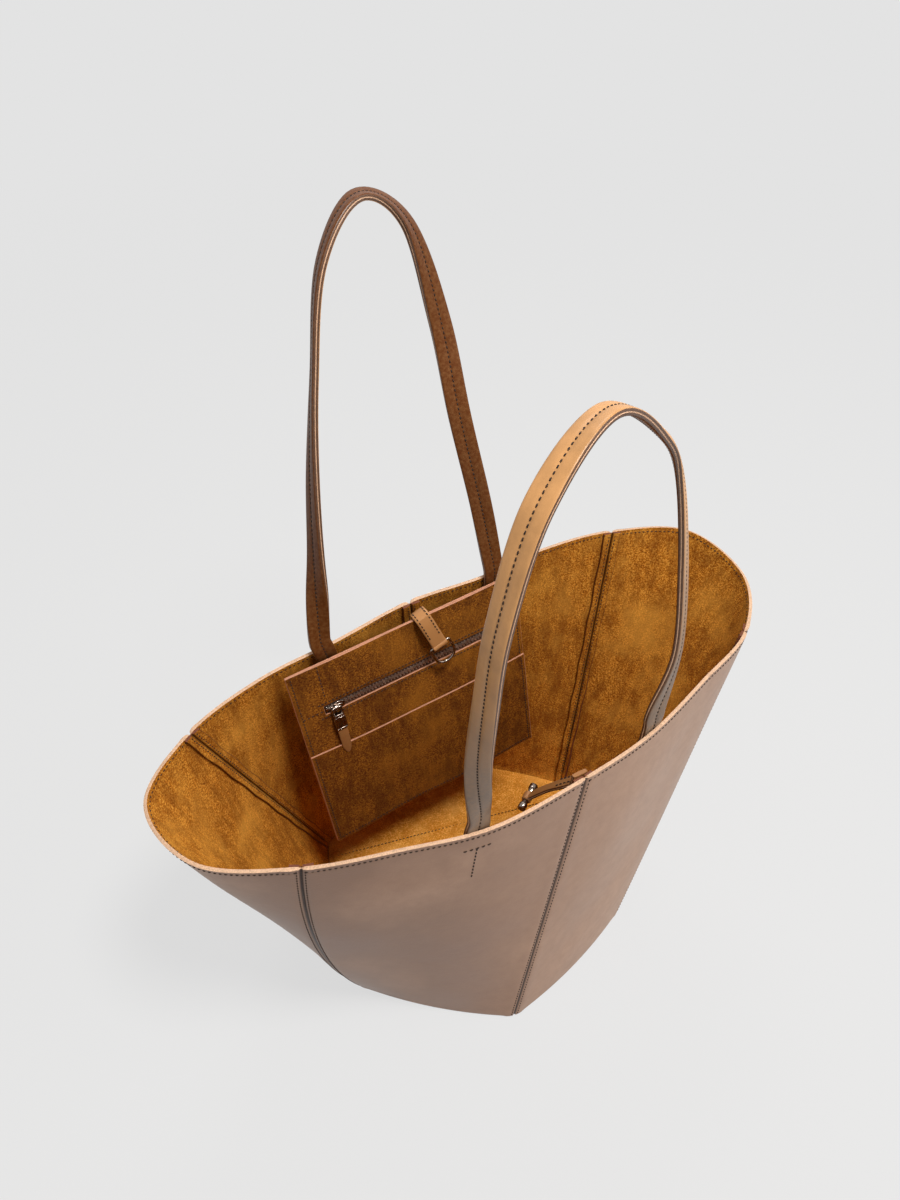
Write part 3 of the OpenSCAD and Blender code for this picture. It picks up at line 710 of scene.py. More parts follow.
def strap_leather(name, low_colour_and_shade, low_z, high_z, shine=0.32):
    """Vegetable-tanned strap leather, rolled smooth: warm, waxy and finely wrinkled, taking a lower colour
    below low_z.
    """
    c = colours()
    material, tree = new_material(name)
    where = object_coords(tree)
    z = add(tree, "ShaderNodeSeparateXYZ", None, {0: where}).outputs["Z"]
    cloud = noise(tree, where, 0.03, 3, 0.55)
    deep = [v * 0.72 for v in c.strap_tan]
    pale = [min(1, v * 1.14) for v in c.strap_tan]
    colour = ramp(tree, cloud, (0.3, deep), (0.5, c.strap_tan), (0.72, pale))
    # Below low_z the leather takes the lower colour: on the front strap this is painted grey sheen and
    # painted shade near the rim, on the back strap painted shade, under the lit tan higher up; the other
    # leathers take it all over
    high = remap(tree, z, low_z, high_z, 1, 0)
    colour = mix(tree, high, colour, rgba(low_colour_and_shade))
    fine = noise(tree, where, 0.0022, 4, 0.65)
    colour = mix(tree, remap(tree, fine, 0.4, 0.75, 0, 0.25), colour, rgba(deep))
    pebble = add(tree, "ShaderNodeTexVoronoi", {"feature": "SMOOTH_F1"}, {
        "Vector": where, "Scale": 1 / 0.0007, "Smoothness": 0.6}).outputs["Distance"]
    normal = raised(tree, pebble, 0.00005, 0.5)
    normal = raised(tree, fine, 0.00012, 0.5, normal)
    return shade(material, tree, {
        "Base Color": colour, "Roughness": remap(tree, cloud, 0.3, 0.7, 0.34, 0.46),
        "Normal": normal, "IOR": 1.5, "Specular IOR Level": shine,
        "Coat Weight": 0.15 * shine, "Coat Roughness": 0.3,
    })


def painted_edge():
    """Edge paint on a folded strap: a dark, slightly glossy acrylic skin."""
    c = colours()
    material, tree = new_material("edge_paint")
    where = object_coords(tree)
    uneven = noise(tree, where, 0.0016, 3)
    light = [v * 1.9 for v in c.dark_edge]
    colour = ramp(tree, uneven, (0.35, c.dark_edge), (0.75, light))
    return shade(material, tree, {
        "Base Color": colour, "Roughness": 0.4,
        "Normal": raised(tree, uneven, 0.0001, 0.4), "IOR": 1.48,
    })


def waxed_thread():
    """Waxed polyester thread: dark, twisted and dully shiny."""
    c = colours()
    material, tree = new_material("waxed_thread")
    where = object_coords(tree)
    twist = noise(tree, where, 0.0005, 2)
    light = [v * 2.2 for v in c.thread]
    colour = ramp(tree, twist, (0.35, c.thread), (0.7, light))
    return shade(material, tree, {
        "Base Color": colour, "Roughness": 0.7, "Specular IOR Level": 0.3,
        "Normal": raised(tree, twist, 0.00012, 0.6), "IOR": 1.5,
    })


def woven_tape():
    """Woven polyester zip tape: a dark herringbone of fine ribs."""
    c = colours()
    material, tree = new_material("woven_zip_tape")
    turn = POUCH_PLACE.to_3x3().transposed().to_euler("XYZ")
    where = add(tree, "ShaderNodeMapping", None, {
        "Vector": object_coords(tree), "Rotation": tuple(turn)}).outputs[0]
    # Ribs every 0.7 mm along the tape
    ribs = add(tree, "ShaderNodeTexWave", {"bands_direction": "X"}, {
        "Vector": where, "Scale": 0.31 / 0.0007, "Distortion": 1.2}).outputs["Fac"]
    light = [v * 2.4 for v in c.tape]
    return shade(material, tree, {
        "Base Color": ramp(tree, ribs, (0.2, c.tape), (0.9, light)), "Roughness": 0.8,
        "Normal": raised(tree, ribs, 0.00015, 0.7), "Specular IOR Level": 0.3,
    })


def dark_nickel(name, tint, low=0.16, high=0.3):
    """Black nickel plate, polished: dark mirror metal with hairline handling marks."""
    material, tree = new_material(name)
    where = object_coords(tree)
    stretched = add(tree, "ShaderNodeMapping", None, {
        "Vector": where, "Scale": (1, 1, 0.15)}).outputs[0]
    hairlines = noise(tree, stretched, 0.0006, 3, 0.6)
    bloom = noise(tree, where, 0.004, 2)
    deep = [v * 0.6 for v in tint]
    return shade(material, tree, {
        "Base Color": ramp(tree, bloom, (0.35, deep), (0.65, tint)), "Metallic": 1.0,
        "Roughness": remap(tree, hairlines, 0.3, 0.7, low, high),
        "Normal": raised(tree, hairlines, 0.00002, 0.4),
    })


# Materials and Geometry Nodes trees, kept after they are first made
_made = {}


def material_of(key):
    """Each finish of the bag, made once when it is first asked for."""
    c = colours()
    makers = {
        "calfskin": milled_calfskin,
        "suede": lambda: suede("brushed_suede", c.suede, c.suede_light, c.suede_deep),
        # The floor's suede is painted lighter, as light on the floor
        "floor_suede": lambda: suede("floor_suede", c.floor, c.floor_light, c.suede),
        "pouch": lambda: suede("pouch_suede", c.pouch, c.pouch_light, c.pouch_deep),
        "edge": lambda: cut_edge("cut_leather_edge", c.raw_edge),
        "edge_pouch": lambda: cut_edge("cut_pouch_edge", c.pouch_edge),
        # Cut edge of the turned-in seams, darkened as painted shade
        "edge_in_shade": lambda: cut_edge("dyed_cut_edge", c.inside_cut_edge_shade),
        # The front strap's lower colour is painted sheen and shade
        "front_strap": lambda: strap_leather("front_strap_leather", c.strap_low_sheen_and_shade, 0.29, 0.41),
        # The back strap's lower colour is painted shade
        "back_strap": lambda: strap_leather("back_strap_leather", c.strap_low_shade, 0.27, 0.42, 0.12),
        # Painted shade on the strap face turned from the light
        "strap_shaded_side": lambda: strap_leather("strap_inner_leather", c.strap_shaded_face, 1.0, 1.1, 0.1),
        "tab": lambda: strap_leather("tab_leather", c.tab, 1.0, 1.1),
        "toggle": lambda: strap_leather("toggle_leather", c.toggle_brown, 1.0, 1.1),
        "painted": painted_edge,
        "thread": waxed_thread,
        "tape": woven_tape,
        "metal": lambda: dark_nickel("polished_dark_nickel", c.metal),
        "teeth": lambda: dark_nickel("zip_teeth_metal", c.teeth, 0.35, 0.5),
    }
    if key not in _made:
        _made[key] = makers[key]()
    return _made[key]


# The body

def panel_shares(seam, t):
    """Columns of a panel, close together near its seams, as shares of its width."""
    near = np.array([0, 0.0003, 0.0007, 0.0012, 0.0018, 0.0024, 0.0031, 0.0042, 0.006, 0.009])
    share = near / panel_width(seam, t)
    columns = 35
    middle = np.linspace(0, 1, columns)[1:-1]
    inner = share[-1] + (1 - 2 * share[-1]) * middle
    return np.concatenate([share, inner, (1 - share)[::-1]])


def seam_distance(seam, s, t):
    """Distance from the nearer of the two seams of a panel."""
    w = s - seam
    return np.minimum(w, 1 - w) * panel_width(seam, t)


def build_panel(seam, name):
    """One wall panel: grain outside, suede inside, a roll at the foot and at each seam."""
    # Rows from the floor up, close together under the rim, where the drops are in metres
    low = np.linspace(0, 0.94, 36)
    high = below_rim(np.array([0.0125, 0.0095, 0.007, 0.005, 0.0038, 0.003, 0.0022, 0.0014,
                               0.0007, 0.0]))
    heights = np.concatenate([low, high])
    shares = np.stack([panel_shares(seam, t) for t in heights])
    s = seam + shares
    t = np.repeat(heights[:, None], shares.shape[1], axis=1)
    x = seam_distance(seam, s, t)
    from_rim = (1 - t) * RIM_H
    # Each bump says how far from the seam or rim it lies and how wide it is
    step = RIM_NOTCH * bump(x, 0, 0.0016) * bump(from_rim, 0, 0.002)
    groove = (SEAM_GROOVE * bump(x, 0, 0.0011) + SEAM_DENT * bump(x, sizes().seam_row, 0.0005)
              - SEAM_SWELL * bump(x, 0.0058, 0.0026))
    rim_dent = RIM_DENT * bump(from_rim, sizes().rim_row, 0.0006)
    stand = lean_in(np.clip(s, seam + 1e-6, seam + 1 - 1e-6), t)
    outer = wall_at(s, t, groove + rim_dent + stand)
    inner = wall_at(s, t, LEATHER_T + stand)
    outer[..., 2] -= step
    inner[..., 2] -= step
    # The wall rolls under the edge of the floor: each row is an inset and a height
    foot = s[0]
    inward = wall_in(foot, np.zeros_like(foot))
    flat_groove = groove[0][:, None]
    rolls = [(0.0024, 0.00002), (0.0011, 0.0003), (0.0004, 0.0009), (0.00003, 0.0015)]
    under = [wall(foot, np.zeros_like(foot)) + inward * (inset + flat_groove)
             + np.array([0, 0, drop - LEATHER_T]) for inset, drop in rolls]
    back = [wall(foot, np.zeros_like(foot)) + inward * (LEATHER_T + 0.0003)
            + np.array([0, 0, z - LEATHER_T]) for z in (0.0003, 0.0008, 0.0014, 0.0019)]
    outer = np.concatenate([np.stack(under), outer])
    inner = np.concatenate([np.stack(back), inner])
    # Painted shade in the seam groove, kept on the mesh for the material
    dark = bump(x, 0, 0.0009)
    dark = np.concatenate([np.repeat(dark[:1], len(rolls), axis=0), dark])
    obj = leather_sheet(name, outer, inner, [
        material_of("calfskin"), material_of("suede"), material_of("edge")], crease=dark)
    return settle(obj, bevel=0.0003, segments=2, angle=55)


def build_allowances():
    """Turned-in edges of each seam, opened flat and stitched down inside the bag."""
    strips = []
    # From above the floor up to the rim, close together at the top
    heights = np.concatenate([np.linspace(0.012, 0.97, 60), below_rim(
        np.array([0.005, 0.003, 0.0015, 0.0004]))])
    x = np.array([0.0001, 0.0005, 0.0011, 0.0018, 0.0024, 0.0032, 0.0044, 0.0056, ALLOWANCE_W])
    for seam in range(PANELS):
        for side in (-1, 1):
            panel = seam if side > 0 else seam - 1
            width = np.array([panel_width(panel % PANELS, t) for t in heights])[:, None]
            wavy = 0.0004 * np.sin(heights * 41 + seam * 2 + side)[:, None]
            reach = x[None] + wavy * (x / ALLOWANCE_W)[None] ** 2
            s = seam + side * reach / width
            t = np.repeat(heights[:, None], len(x), axis=1)
            stand = lean_in(np.clip(s, panel + 1e-6, panel + 1 - 1e-6) % PANELS, t)
            lift = (0.0017 - 0.0012 * bump(x, 0, 0.0009) - 0.0002 * bump(x, 0.0024, 0.0005)
                    + 0.0003 * bump(x, ALLOWANCE_W, 0.001))
            top = wall_at(s, t, LEATHER_T + lift[None] + stand)
            bottom = wall_at(s, t, LEATHER_T - 0.0001 + stand)
            # Painted shade along each strip's fold and raw edge, kept on the mesh for the material
            dark = bump(x, 0, 0.0011) + 0.75 * bump(x, ALLOWANCE_W + 0.0002, 0.0006)
            dark = np.repeat(dark[None], len(heights), axis=0)
            if side < 0:
                top, bottom, dark = top[:, ::-1], bottom[:, ::-1], dark[:, ::-1]
            strips.append(settle(leather_sheet("strip", top, bottom, [
                material_of("suede"), material_of("suede"), material_of("edge_in_shade")],
                crease=dark), bevel=0.0002, segments=1, angle=50))
    return join("seam_allowances", strips)


def floor_outline(s, inset):
    """The floor's outline, set in by a distance."""
    p = base(s)[..., :2]
    return p - unit(p) * inset


def build_floor():
    """Floor of the bag: suede above, grain below, with a soft edge."""
    s = np.linspace(0, PANELS, 24 * PANELS + 1)
    shares = np.array([0.02, 0.15, 0.3, 0.45, 0.6, 0.75, 0.87, 0.95, 0.985, 1.0])
    edge = floor_outline(s, 0.0026)
    rings = shares[:, None, None] * edge[None]
    dip = 0.0004 * (1 - fade(shares, 0.7, 1.0))
    top = np.concatenate([rings, np.broadcast_to(
        (LEATHER_T - dip)[:, None, None], rings.shape[:2] + (1,))], -1)
    low = np.concatenate([rings, np.full(rings.shape[:2] + (1,), 0.00004)], -1)
    obj = leather_sheet("floor_leather", top, low, [
        material_of("floor_suede"), material_of("calfskin"), material_of("calfskin")])
    # The rings leave a small hole in the middle, which is closed on both sides
    work = bmesh.new()
    work.from_mesh(obj.data)
    bmesh.ops.remove_doubles(work, verts=work.verts, dist=1e-6)
    bmesh.ops.holes_fill(work, edges=[e for e in work.edges if e.is_boundary])
    inner_walls = [f for f in work.faces if f.material_index == 2
                   and f.calc_center_median().xy.length < 0.02]
    bmesh.ops.delete(work, geom=inner_walls, context="FACES")
    bmesh.ops.holes_fill(work, edges=[e for e in work.edges if e.is_boundary])
    work.to_mesh(obj.data)
    work.free()
    return settle(obj, bevel=0.0006, segments=2, angle=60)


def build_lap():
    """Loose leather lap on the floor, cut straight across near the back."""
    inset = 2 * LEATHER_T + 0.002
    back_edge = 0.05
    outline = floor_outline(np.linspace(-0.999, 1.999, 120), inset)
    right = outline[outline[:, 0] >= 0]
    right = right[np.argsort(right[:, 1])]
    y = np.concatenate([np.linspace(right[0, 1] + 0.0004, -0.06, 14),
                        np.linspace(-0.055, back_edge, 22)])
    half = np.maximum(0.004, np.interp(y, right[:, 1], right[:, 0]))
    share = np.linspace(-1, 1, 41)
    x = share[None] * half[:, None]
    yy = np.repeat(y[:, None], len(share), axis=1)
    lift = 0.0005 * np.sin(x * 55 + 1.0) * fade(yy, 0.0, back_edge)
    top = np.stack([x, yy, LEATHER_T + 0.0013 + lift], -1)
    low = np.stack([x, yy, np.full_like(x, LEATHER_T - 0.0003)], -1)
    obj = leather_sheet("floor_lap_leather", top, low, [
        material_of("floor_suede"), material_of("floor_suede"), material_of("edge")])
    return settle(obj, bevel=0.0003, segments=2, angle=50)


# Straps

def arch_value(arch, u):
    """Smooth curve through rows of numbers, where u counts the rows."""
    last = len(arch) - 1
    k = np.clip(np.floor(u).astype(int), 0, last - 1)
    w = (u - k)[:, None]
    ends = np.concatenate([[2 * arch[0] - arch[1]], arch, [2 * arch[-1] - arch[-2]]])
    return catmull(ends[k], ends[k + 1], ends[k + 2], ends[k + 3], w)


def foot_path(s, facing):
    """Middle line and width direction of a sewn foot, from its end up to the rim."""
    past_rim = 0.002
    depth = np.linspace(FOOT_DEPTH, -past_rim, 14)
    t = below_rim(depth)
    middle = wall_at(np.full_like(t, s), t, FOOT_IN + STRAP_T / 2)
    across = unit(wall(np.full_like(t, s + 0.02), t) - wall(np.full_like(t, s - 0.02), t))
    if across[-1] @ facing < 0:
        across = -across
    return middle, across


def strap_frames(left_s, right_s, rise, lean, arch):
    """Middle line, width and face directions of a strap from one sewn end to the other."""
    left, right = (wall_at(s, below_rim(-BEND_RISE), FOOT_IN + STRAP_T / 2)
                   for s in (left_s, right_s))
    along = unit(right - left)
    level = unit(np.array([-along[1], along[0], 0]))
    plumb = np.cross(along, level)
    a = math.radians(lean)
    up = plumb * math.cos(a) + level * math.sin(a)
    out = level * math.cos(a) - plumb * math.sin(a)
    samples, easing_rounds = 190, 30
    u = np.linspace(0, len(arch) - 1, samples)
    v = arch_value(arch, u)
    half = np.linalg.norm(right - left) / 2
    middle = ((left + right) / 2 + v[:, :1] * along * half + v[:, 1:2] * up * rise
              + v[:, 2:3] / 1000 * out)
    way = unit(np.gradient(middle, axis=0))
    n = unit(np.cross(way, out))
    b = np.cross(n, way)
    twist = np.radians(v[:, 3:4])
    width = n * np.cos(twist) + b * np.sin(twist)
    foot_l, width_l = foot_path(left_s, width[0])
    foot_r, width_r = foot_path(right_s, width[-1])
    middle = np.concatenate([foot_l, middle, foot_r[::-1]])
    width = np.concatenate([width_l, width, width_r[::-1]])
    # Both joints between foot and arch are eased into a soft bend
    for spot in (len(foot_l), len(middle) - len(foot_r)):
        for _ in range(easing_rounds):
            r = slice(spot - 5, spot + 9) if spot < 50 else slice(spot - 9, spot + 5)
            for data in (middle, width):
                data[r] = 0.5 * data[r] + 0.25 * (
                    data[r.start - 1:r.stop - 1] + data[r.start + 1:r.stop + 1])
    run = np.concatenate([[0], np.cumsum(np.linalg.norm(np.diff(middle, axis=0), axis=1))])
    steps = np.linspace(0, run[-1], int(run[-1] / STRAP_STEP))
    middle = np.stack([np.interp(steps, run, middle[:, i]) for i in range(3)], -1)
    width = np.stack([np.interp(steps, run, width[:, i]) for i in range(3)], -1)
    way = unit(np.gradient(middle, axis=0))
    width = unit(width - way * (width * way).sum(-1, keepdims=True))
    return middle, width, np.cross(way, width), steps


# Quarter of a folded strap's section, as shares of its half width and half thickness:
# a stitch channel in the middle and a fine groove between the layers at each edge
STRAP_SECTION = [
    (0.0, 0.84), (0.07, 0.86), (0.16, 0.99), (0.4, 1.0), (0.72, 0.98), (0.9, 0.92),
    (0.97, 0.74), (0.99, 0.4), (0.985, 0.14), (0.955, 0.0),
]
# Tabs have no stitch channel in the middle
TAB_SECTION = [(0.0, 1.0), (0.45, 1.0), (0.72, 0.98)] + STRAP_SECTION[5:]


def folded_section(middle, width, face, half_w, half_t, quarter=STRAP_SECTION):
    """Rings of a folded strap, and the material index of each side: face, cut edge, paint, back."""
    right = quarter + [(w, -f) for w, f in reversed(quarter[:-1])]
    shape = right + [(-w, f) for w, f in reversed(right[1:-1])]
    rings = np.stack([middle + width * w * half_w + face * f * half_t for w, f in shape], 1)
    slots = []
    for i, (w, f) in enumerate(shape):
        w2, f2 = shape[(i + 1) % len(shape)]
        far = (abs(w) + abs(w2)) / 2
        if far < 0.965 and abs(f + f2) > 0.3:
            slots.append(0 if f + f2 > 0 else 3)
        elif far > 0.975:
            slots.append(2)
        else:
            slots.append(1)
    return rings, slots


def build_strap(name, frames, front, back):
    """A folded strap; its face turned to the front and its other face differ in leather, one of them darker
    as painted shade.
    """
    rings, slots = folded_section(*frames[:3], STRAP_W / 2, STRAP_T / 2)
    obj = swept(name, rings, slots, [front, material_of("edge"), material_of("painted"), back])
    return settle(obj, angle=70)


# Stitching

# How far each stitch turns from its row, in radians
STITCH_SLANT = 0.1


def tree_inputs(tree, output, **inputs):
    """Gives a node tree its named inputs and its output, and returns the input sockets."""
    for name, kind in inputs.items():
        tree.interface.new_socket(name, in_out="INPUT", socket_type="NodeSocket" + kind)
    tree.interface.new_socket(output, in_out="OUTPUT", socket_type="NodeSocketGeometry")
    return tree.nodes.new("NodeGroupInput").outputs


def stitch_shape():
    """One stitch of thread, sunk at both ends, along x with its top towards z."""
    r = sizes().thread_r
    # Rows of place along the stitch in millimetres, thickness and height in thread radii
    rings = []
    for x, size, z in ((-1.05, 0.3, -1.1), (-0.85, 0.8, -0.4), (-0.35, 1, 0.1),
                       (0.35, 1, 0.1), (0.85, 0.8, -0.4), (1.05, 0.3, -1.1)):
        rings.append([(x * 0.001, r * size * math.cos(a), r * (z + size * math.sin(a)))
                      for a in np.arange(6) * math.pi / 3])
    return swept("stitch_shape", rings, [0], [material_of("thread")])


def stitch_tree():
    """Geometry Nodes that lay one stitch after another along each line of a mesh."""
    tree = bpy.data.node_groups.new("lay_stitches", "GeometryNodeTree")
    given = tree_inputs(tree, "Stitches", Lines="Geometry", Pitch="Float", Slant="Float",
                        Size="Float", Stitch="Object", Thread="Material")
    curve = add(tree, "GeometryNodeMeshToCurve", None, {"Mesh": given["Lines"]})
    even = add(tree, "GeometryNodeResampleCurve", {"mode": "LENGTH"}, {
        "Curve": curve.outputs[0], "Length": given["Pitch"]})
    tangent = add(tree, "GeometryNodeInputTangent")
    up = add(tree, "GeometryNodeInputNamedAttribute", {"data_type": "FLOAT_VECTOR"},
             {"Name": "up"})
    along = add(tree, "FunctionNodeAlignRotationToVector", {"axis": "X"},
                {"Vector": tangent.outputs[0]})
    stand = add(tree, "FunctionNodeAlignRotationToVector", {"axis": "Z", "pivot_axis": "X"},
                {"Rotation": along.outputs[0], "Vector": up.outputs[0]})
    uneven = add(tree, "FunctionNodeRandomValue", {"data_type": "FLOAT"}, {
        2: -0.05, 3: 0.05, "Seed": 7})
    slant = add(tree, "ShaderNodeMath", {"operation": "ADD"}, {
        0: given["Slant"], 1: uneven.outputs[1]})
    tilt = add(tree, "FunctionNodeAxisAngleToRotation", None, {
        "Axis": (0, 0, 1), "Angle": slant.outputs[0]})
    turn = add(tree, "FunctionNodeRotateRotation", {"rotation_space": "LOCAL"}, {
        "Rotation": stand.outputs[0], "Rotate By": tilt.outputs[0]})
    shape = add(tree, "GeometryNodeObjectInfo", None, {"Object": given["Stitch"]})
    laid = add(tree, "GeometryNodeInstanceOnPoints", None, {
        "Points": even.outputs[0], "Instance": shape.outputs["Geometry"],
        "Rotation": turn.outputs[0], "Scale": given["Size"]})
    real = add(tree, "GeometryNodeRealizeInstances", None, {"Geometry": laid.outputs[0]})
    dyed = add(tree, "GeometryNodeSetMaterial", None, {
        "Geometry": real.outputs[0], "Material": given["Thread"]})
    add(tree, "NodeGroupOutput", None, {"Stitches": dyed.outputs[0]})
    return tree


def apply_nodes(obj, tree, values):
    """Runs a node tree on an object, leaves its result as plain mesh and drops the modifier."""
    modifier = obj.modifiers.new("nodes", "NODES")
    modifier.node_group = tree
    names = {i.name: i.identifier for i in tree.interface.items_tree if i.in_out == "INPUT"}
    for key, value in values.items():
        modifier[names[key]] = value
    bpy.context.view_layer.update()
    got = obj.evaluated_get(bpy.context.evaluated_depsgraph_get())
    mesh = bpy.data.meshes.new_from_object(got)
    if not mesh.polygons:
        raise RuntimeError(f"{obj.name}: the node tree made nothing")
    obj.modifiers.clear()
    obj.data = mesh
    mesh.name = obj.name
    for attribute in [a for a in mesh.attributes if a.name == "up"]:
        mesh.attributes.remove(attribute)
    mesh.polygons.foreach_set("use_smooth", [True] * len(mesh.polygons))
    return obj


def stitch_rows(name, rows, pitch, size=1.0):
    """Stitches along rows, each given as its points and the way its thread stands out."""
    points, edges, up = [], [], []
    for line, normal in rows:
        start = len(points)
        points += [tuple(map(float, p)) for p in line]
        up += [tuple(map(float, n)) for n in np.broadcast_to(normal, np.shape(line))]
        edges += [(start + i, start + i + 1) for i in range(len(line) - 1)]
    mesh = bpy.data.meshes.new(name)
    mesh.from_pydata(points, edges, [])
    ways = mesh.attributes.new("up", "FLOAT_VECTOR", "POINT")
    ways.data.foreach_set("vector", np.array(up, np.float32).ravel())
    obj = bpy.data.objects.new(name, mesh)
    bpy.context.scene.collection.objects.link(obj)
    if "stitch_shape" not in _made:
        _made["stitch_shape"] = stitch_shape()
        _made["stitch_tree"] = stitch_tree()
    return apply_nodes(obj, _made["stitch_tree"], {
        "Pitch": pitch, "Slant": STITCH_SLANT, "Size": size, "Stitch": _made["stitch_shape"],
        "Thread": material_of("thread"),
    })


def wall_row(s, t, depth, outside):
    """Row of stitches on the wall, through its points, standing out of that side."""
    s, t = np.broadcast_arrays(np.asarray(s, float), np.asarray(t, float))
    seam = np.floor(s + 1e-9)
    stand = lean_in(np.clip(s, seam + 1e-6, seam + 1 - 1e-6), t)
    n = wall_in(s, t)
    return wall_at(s, t, depth + stand), -n if outside else n


def body_rows():
    """Rows on the rim and beside each seam, inside and out."""
    rim_rows, seam_rows = [], []
    # The thread's middle lies just under the surface, in the dents that it pulls
    in_rim_dent, in_seam_dent = 0.00008, 0.00012
    t = below_rim(sizes().rim_row)
    edge = 0.0032 / PANEL_TOP
    for k in range(PANELS):
        s = np.linspace(k + edge, k + 1 - edge, 60)
        rim_rows.append(wall_row(s, np.full_like(s, t), in_rim_dent, True))
        rim_rows.append(wall_row(s, np.full_like(s, t), LEATHER_T - HAIR, False))
    heights = np.linspace(0.006, below_rim(0.0035), 70)
    # Inside, the rows start a little higher, above the floor's thickness
    raised_by = 4
    on_allowance = LEATHER_T + 0.0015
    for seam in range(PANELS):
        for side in (-1, 1):
            panel = (seam if side > 0 else seam - 1) % PANELS
            s = (seam + side * sizes().seam_row / panel_width(panel, heights)) % PANELS
            seam_rows.append(wall_row(s, heights, in_seam_dent, True))
            seam_rows.append(wall_row(s[raised_by:], heights[raised_by:], on_allowance, False))
    return rim_rows, seam_rows


# Stitches of the strap feet are thicker than those of the seams
FOOT_PITCH = 0.0032
FOOT_STITCH_SIZE = 1.25


def t_rows(s, half_w, bar_drop, stem_drops, bar_depth, stem_depth, outside):
    """A T of stitches below the rim: a bar across the foot and a stem down its middle."""
    half = half_w / PANEL_TOP
    across = np.linspace(s - half, s + half, 9)
    bar = wall_row(across, np.full_like(across, below_rim(bar_drop)), bar_depth, outside)
    down = below_rim(stem_drops)
    return [bar, wall_row(np.full_like(down, s), down, stem_depth, outside)]


def foot_rows():
    """The T that holds each strap foot inside, and the one that shows on the front."""
    rows = []
    on_foot = FOOT_IN + STRAP_T + HAIR
    in_channel = on_foot - 0.0003
    stem = np.linspace(0.0145, 0.028, 12)
    for s in FEET.values():
        rows += t_rows(s, 0.0068, 0.0145, stem, on_foot, in_channel, False)
    on_wall = 0.00002
    stem = np.linspace(0.0162, 0.044, 20)
    rows += t_rows(FEET["front_left"], 0.0074, 0.0146, stem, on_wall, on_wall, True)
    return rows


def floor_rows():
    """Row under the floor's edge and rows on the lap."""
    from_edge = 0.0075
    s = np.linspace(0.0, 5.98, 180)
    low = np.concatenate([floor_outline(s, from_edge), np.full((len(s), 1), 0.00006)], -1)
    lap_half, lap_row_y = 0.098, 0.0465
    x = np.linspace(-lap_half, lap_half, 60)
    top = np.stack([x, np.full_like(x, lap_row_y), np.full_like(x, LEATHER_T + 0.0014)], -1)
    return [(low, np.array([0, 0, -1])), (top, np.array([0, 0, 1]))]


# The pouch

def placed(place, points):
    """Points of a piece's own drawing, set in the bag's frame."""
    m = np.array(place)
    return points @ m[:3, :3].T + m[:3, 3]


def pouch_swell(x, z):
    """How far the pouch's layers stand forward below the zip."""
    start = 0.055
    low = np.clip((-z - start) / (POUCH_H - start), 0, 1)
    return (0.0026 * np.sin(np.pi * x / POUCH_W) * np.sin(np.pi * low) ** 0.8
            + 0.0009 * np.sin(x * 62 + 0.6) * low ** 2)


def pouch_sheet(name, xs, zs, front_y, back_y, hole=None, wavy=0.0):
    """One suede layer of the pouch, between two faces given as functions of x and z."""
    x, z = np.meshgrid(xs, zs)
    swell = pouch_swell(x, z)
    edge_wave = wavy * np.sin(x * 70 + 2.0) * bump(z, zs.max(), 0.003)
    front = np.stack([x, front_y(x, z) - swell, z + edge_wave], -1)
    back = np.stack([x, back_y(x, z) - swell, z + edge_wave], -1)
    obj = leather_sheet(name, placed(POUCH_PLACE, front), placed(POUCH_PLACE, back), [
        material_of("pouch"), material_of("pouch"), material_of("edge_pouch")], hole)
    return settle(obj, bevel=0.00055, segments=2, angle=50, slot=2)


def grid_lines(values, marks):
    """Grid values with more lines at the marks."""
    return np.unique(np.round(np.concatenate([values, marks]), 6))


def build_pouch():
    """Two suede layers sewn together round the edge, with a window for the zip."""
    xs = grid_lines(np.linspace(0, POUCH_W, 37),
                   [0.001, POUCH_W - 0.001, SLOT_START, SLOT_START + SLOT_L])
    zs = grid_lines(np.linspace(-POUCH_H, 0, 37),
                   [-0.001, 0.001 - POUCH_H, -ZIP_DROP - SLOT_H / 2, -ZIP_DROP + SLOT_H / 2])
    cx, cz = np.meshgrid((xs[:-1] + xs[1:]) / 2, (zs[:-1] + zs[1:]) / 2)
    window = ((np.abs(cz + ZIP_DROP) < SLOT_H / 2) & (cx > SLOT_START)
              & (cx < SLOT_START + SLOT_L))

    def gap(x, z):
        """Room between the two layers, none where they are sewn together."""
        near = np.minimum(np.minimum(x, POUCH_W - x), np.minimum(-z, POUCH_H + z))
        return (POUCH_D - 2 * POUCH_T) * fade(near, 0.004, 0.013)

    def ajar(x, z):
        """How far the slip pocket's mouth stands open."""
        return 0.0007 * bump(z, -SLIP_DROP, 0.02) * np.sin(np.pi * x / POUCH_W)

    front = pouch_sheet("pouch_front_layer", xs, zs, lambda x, z: np.zeros_like(x),
                        lambda x, z: np.full_like(x, POUCH_T), window, 0.0004)
    back = pouch_sheet("pouch_back_layer", xs, zs, lambda x, z: POUCH_T + HAIR + gap(x, z),
                       lambda x, z: 2 * POUCH_T + gap(x, z))
    low = grid_lines(np.linspace(-POUCH_H, -SLIP_DROP, 25), [-SLIP_DROP - 0.001])
    slip = pouch_sheet("slip_pocket_layer", xs, low, lambda x, z: -POUCH_T - ajar(x, z),
                       lambda x, z: -HAIR - ajar(x, z), None, 0.0003)
    return front, back, slip


def pouch_row(x, z, y):
    """Row of stitches on the pouch, and the way its thread stands out."""
    x, z = np.broadcast_arrays(np.asarray(x, float), np.asarray(z, float))
    points = np.stack([x, y - pouch_swell(x, z), z], -1)
    normal = np.array(POUCH_PLACE.to_3x3() @ Vector((0, -1 if y < 0.002 else 1, 0)))
    return placed(POUCH_PLACE, points), normal


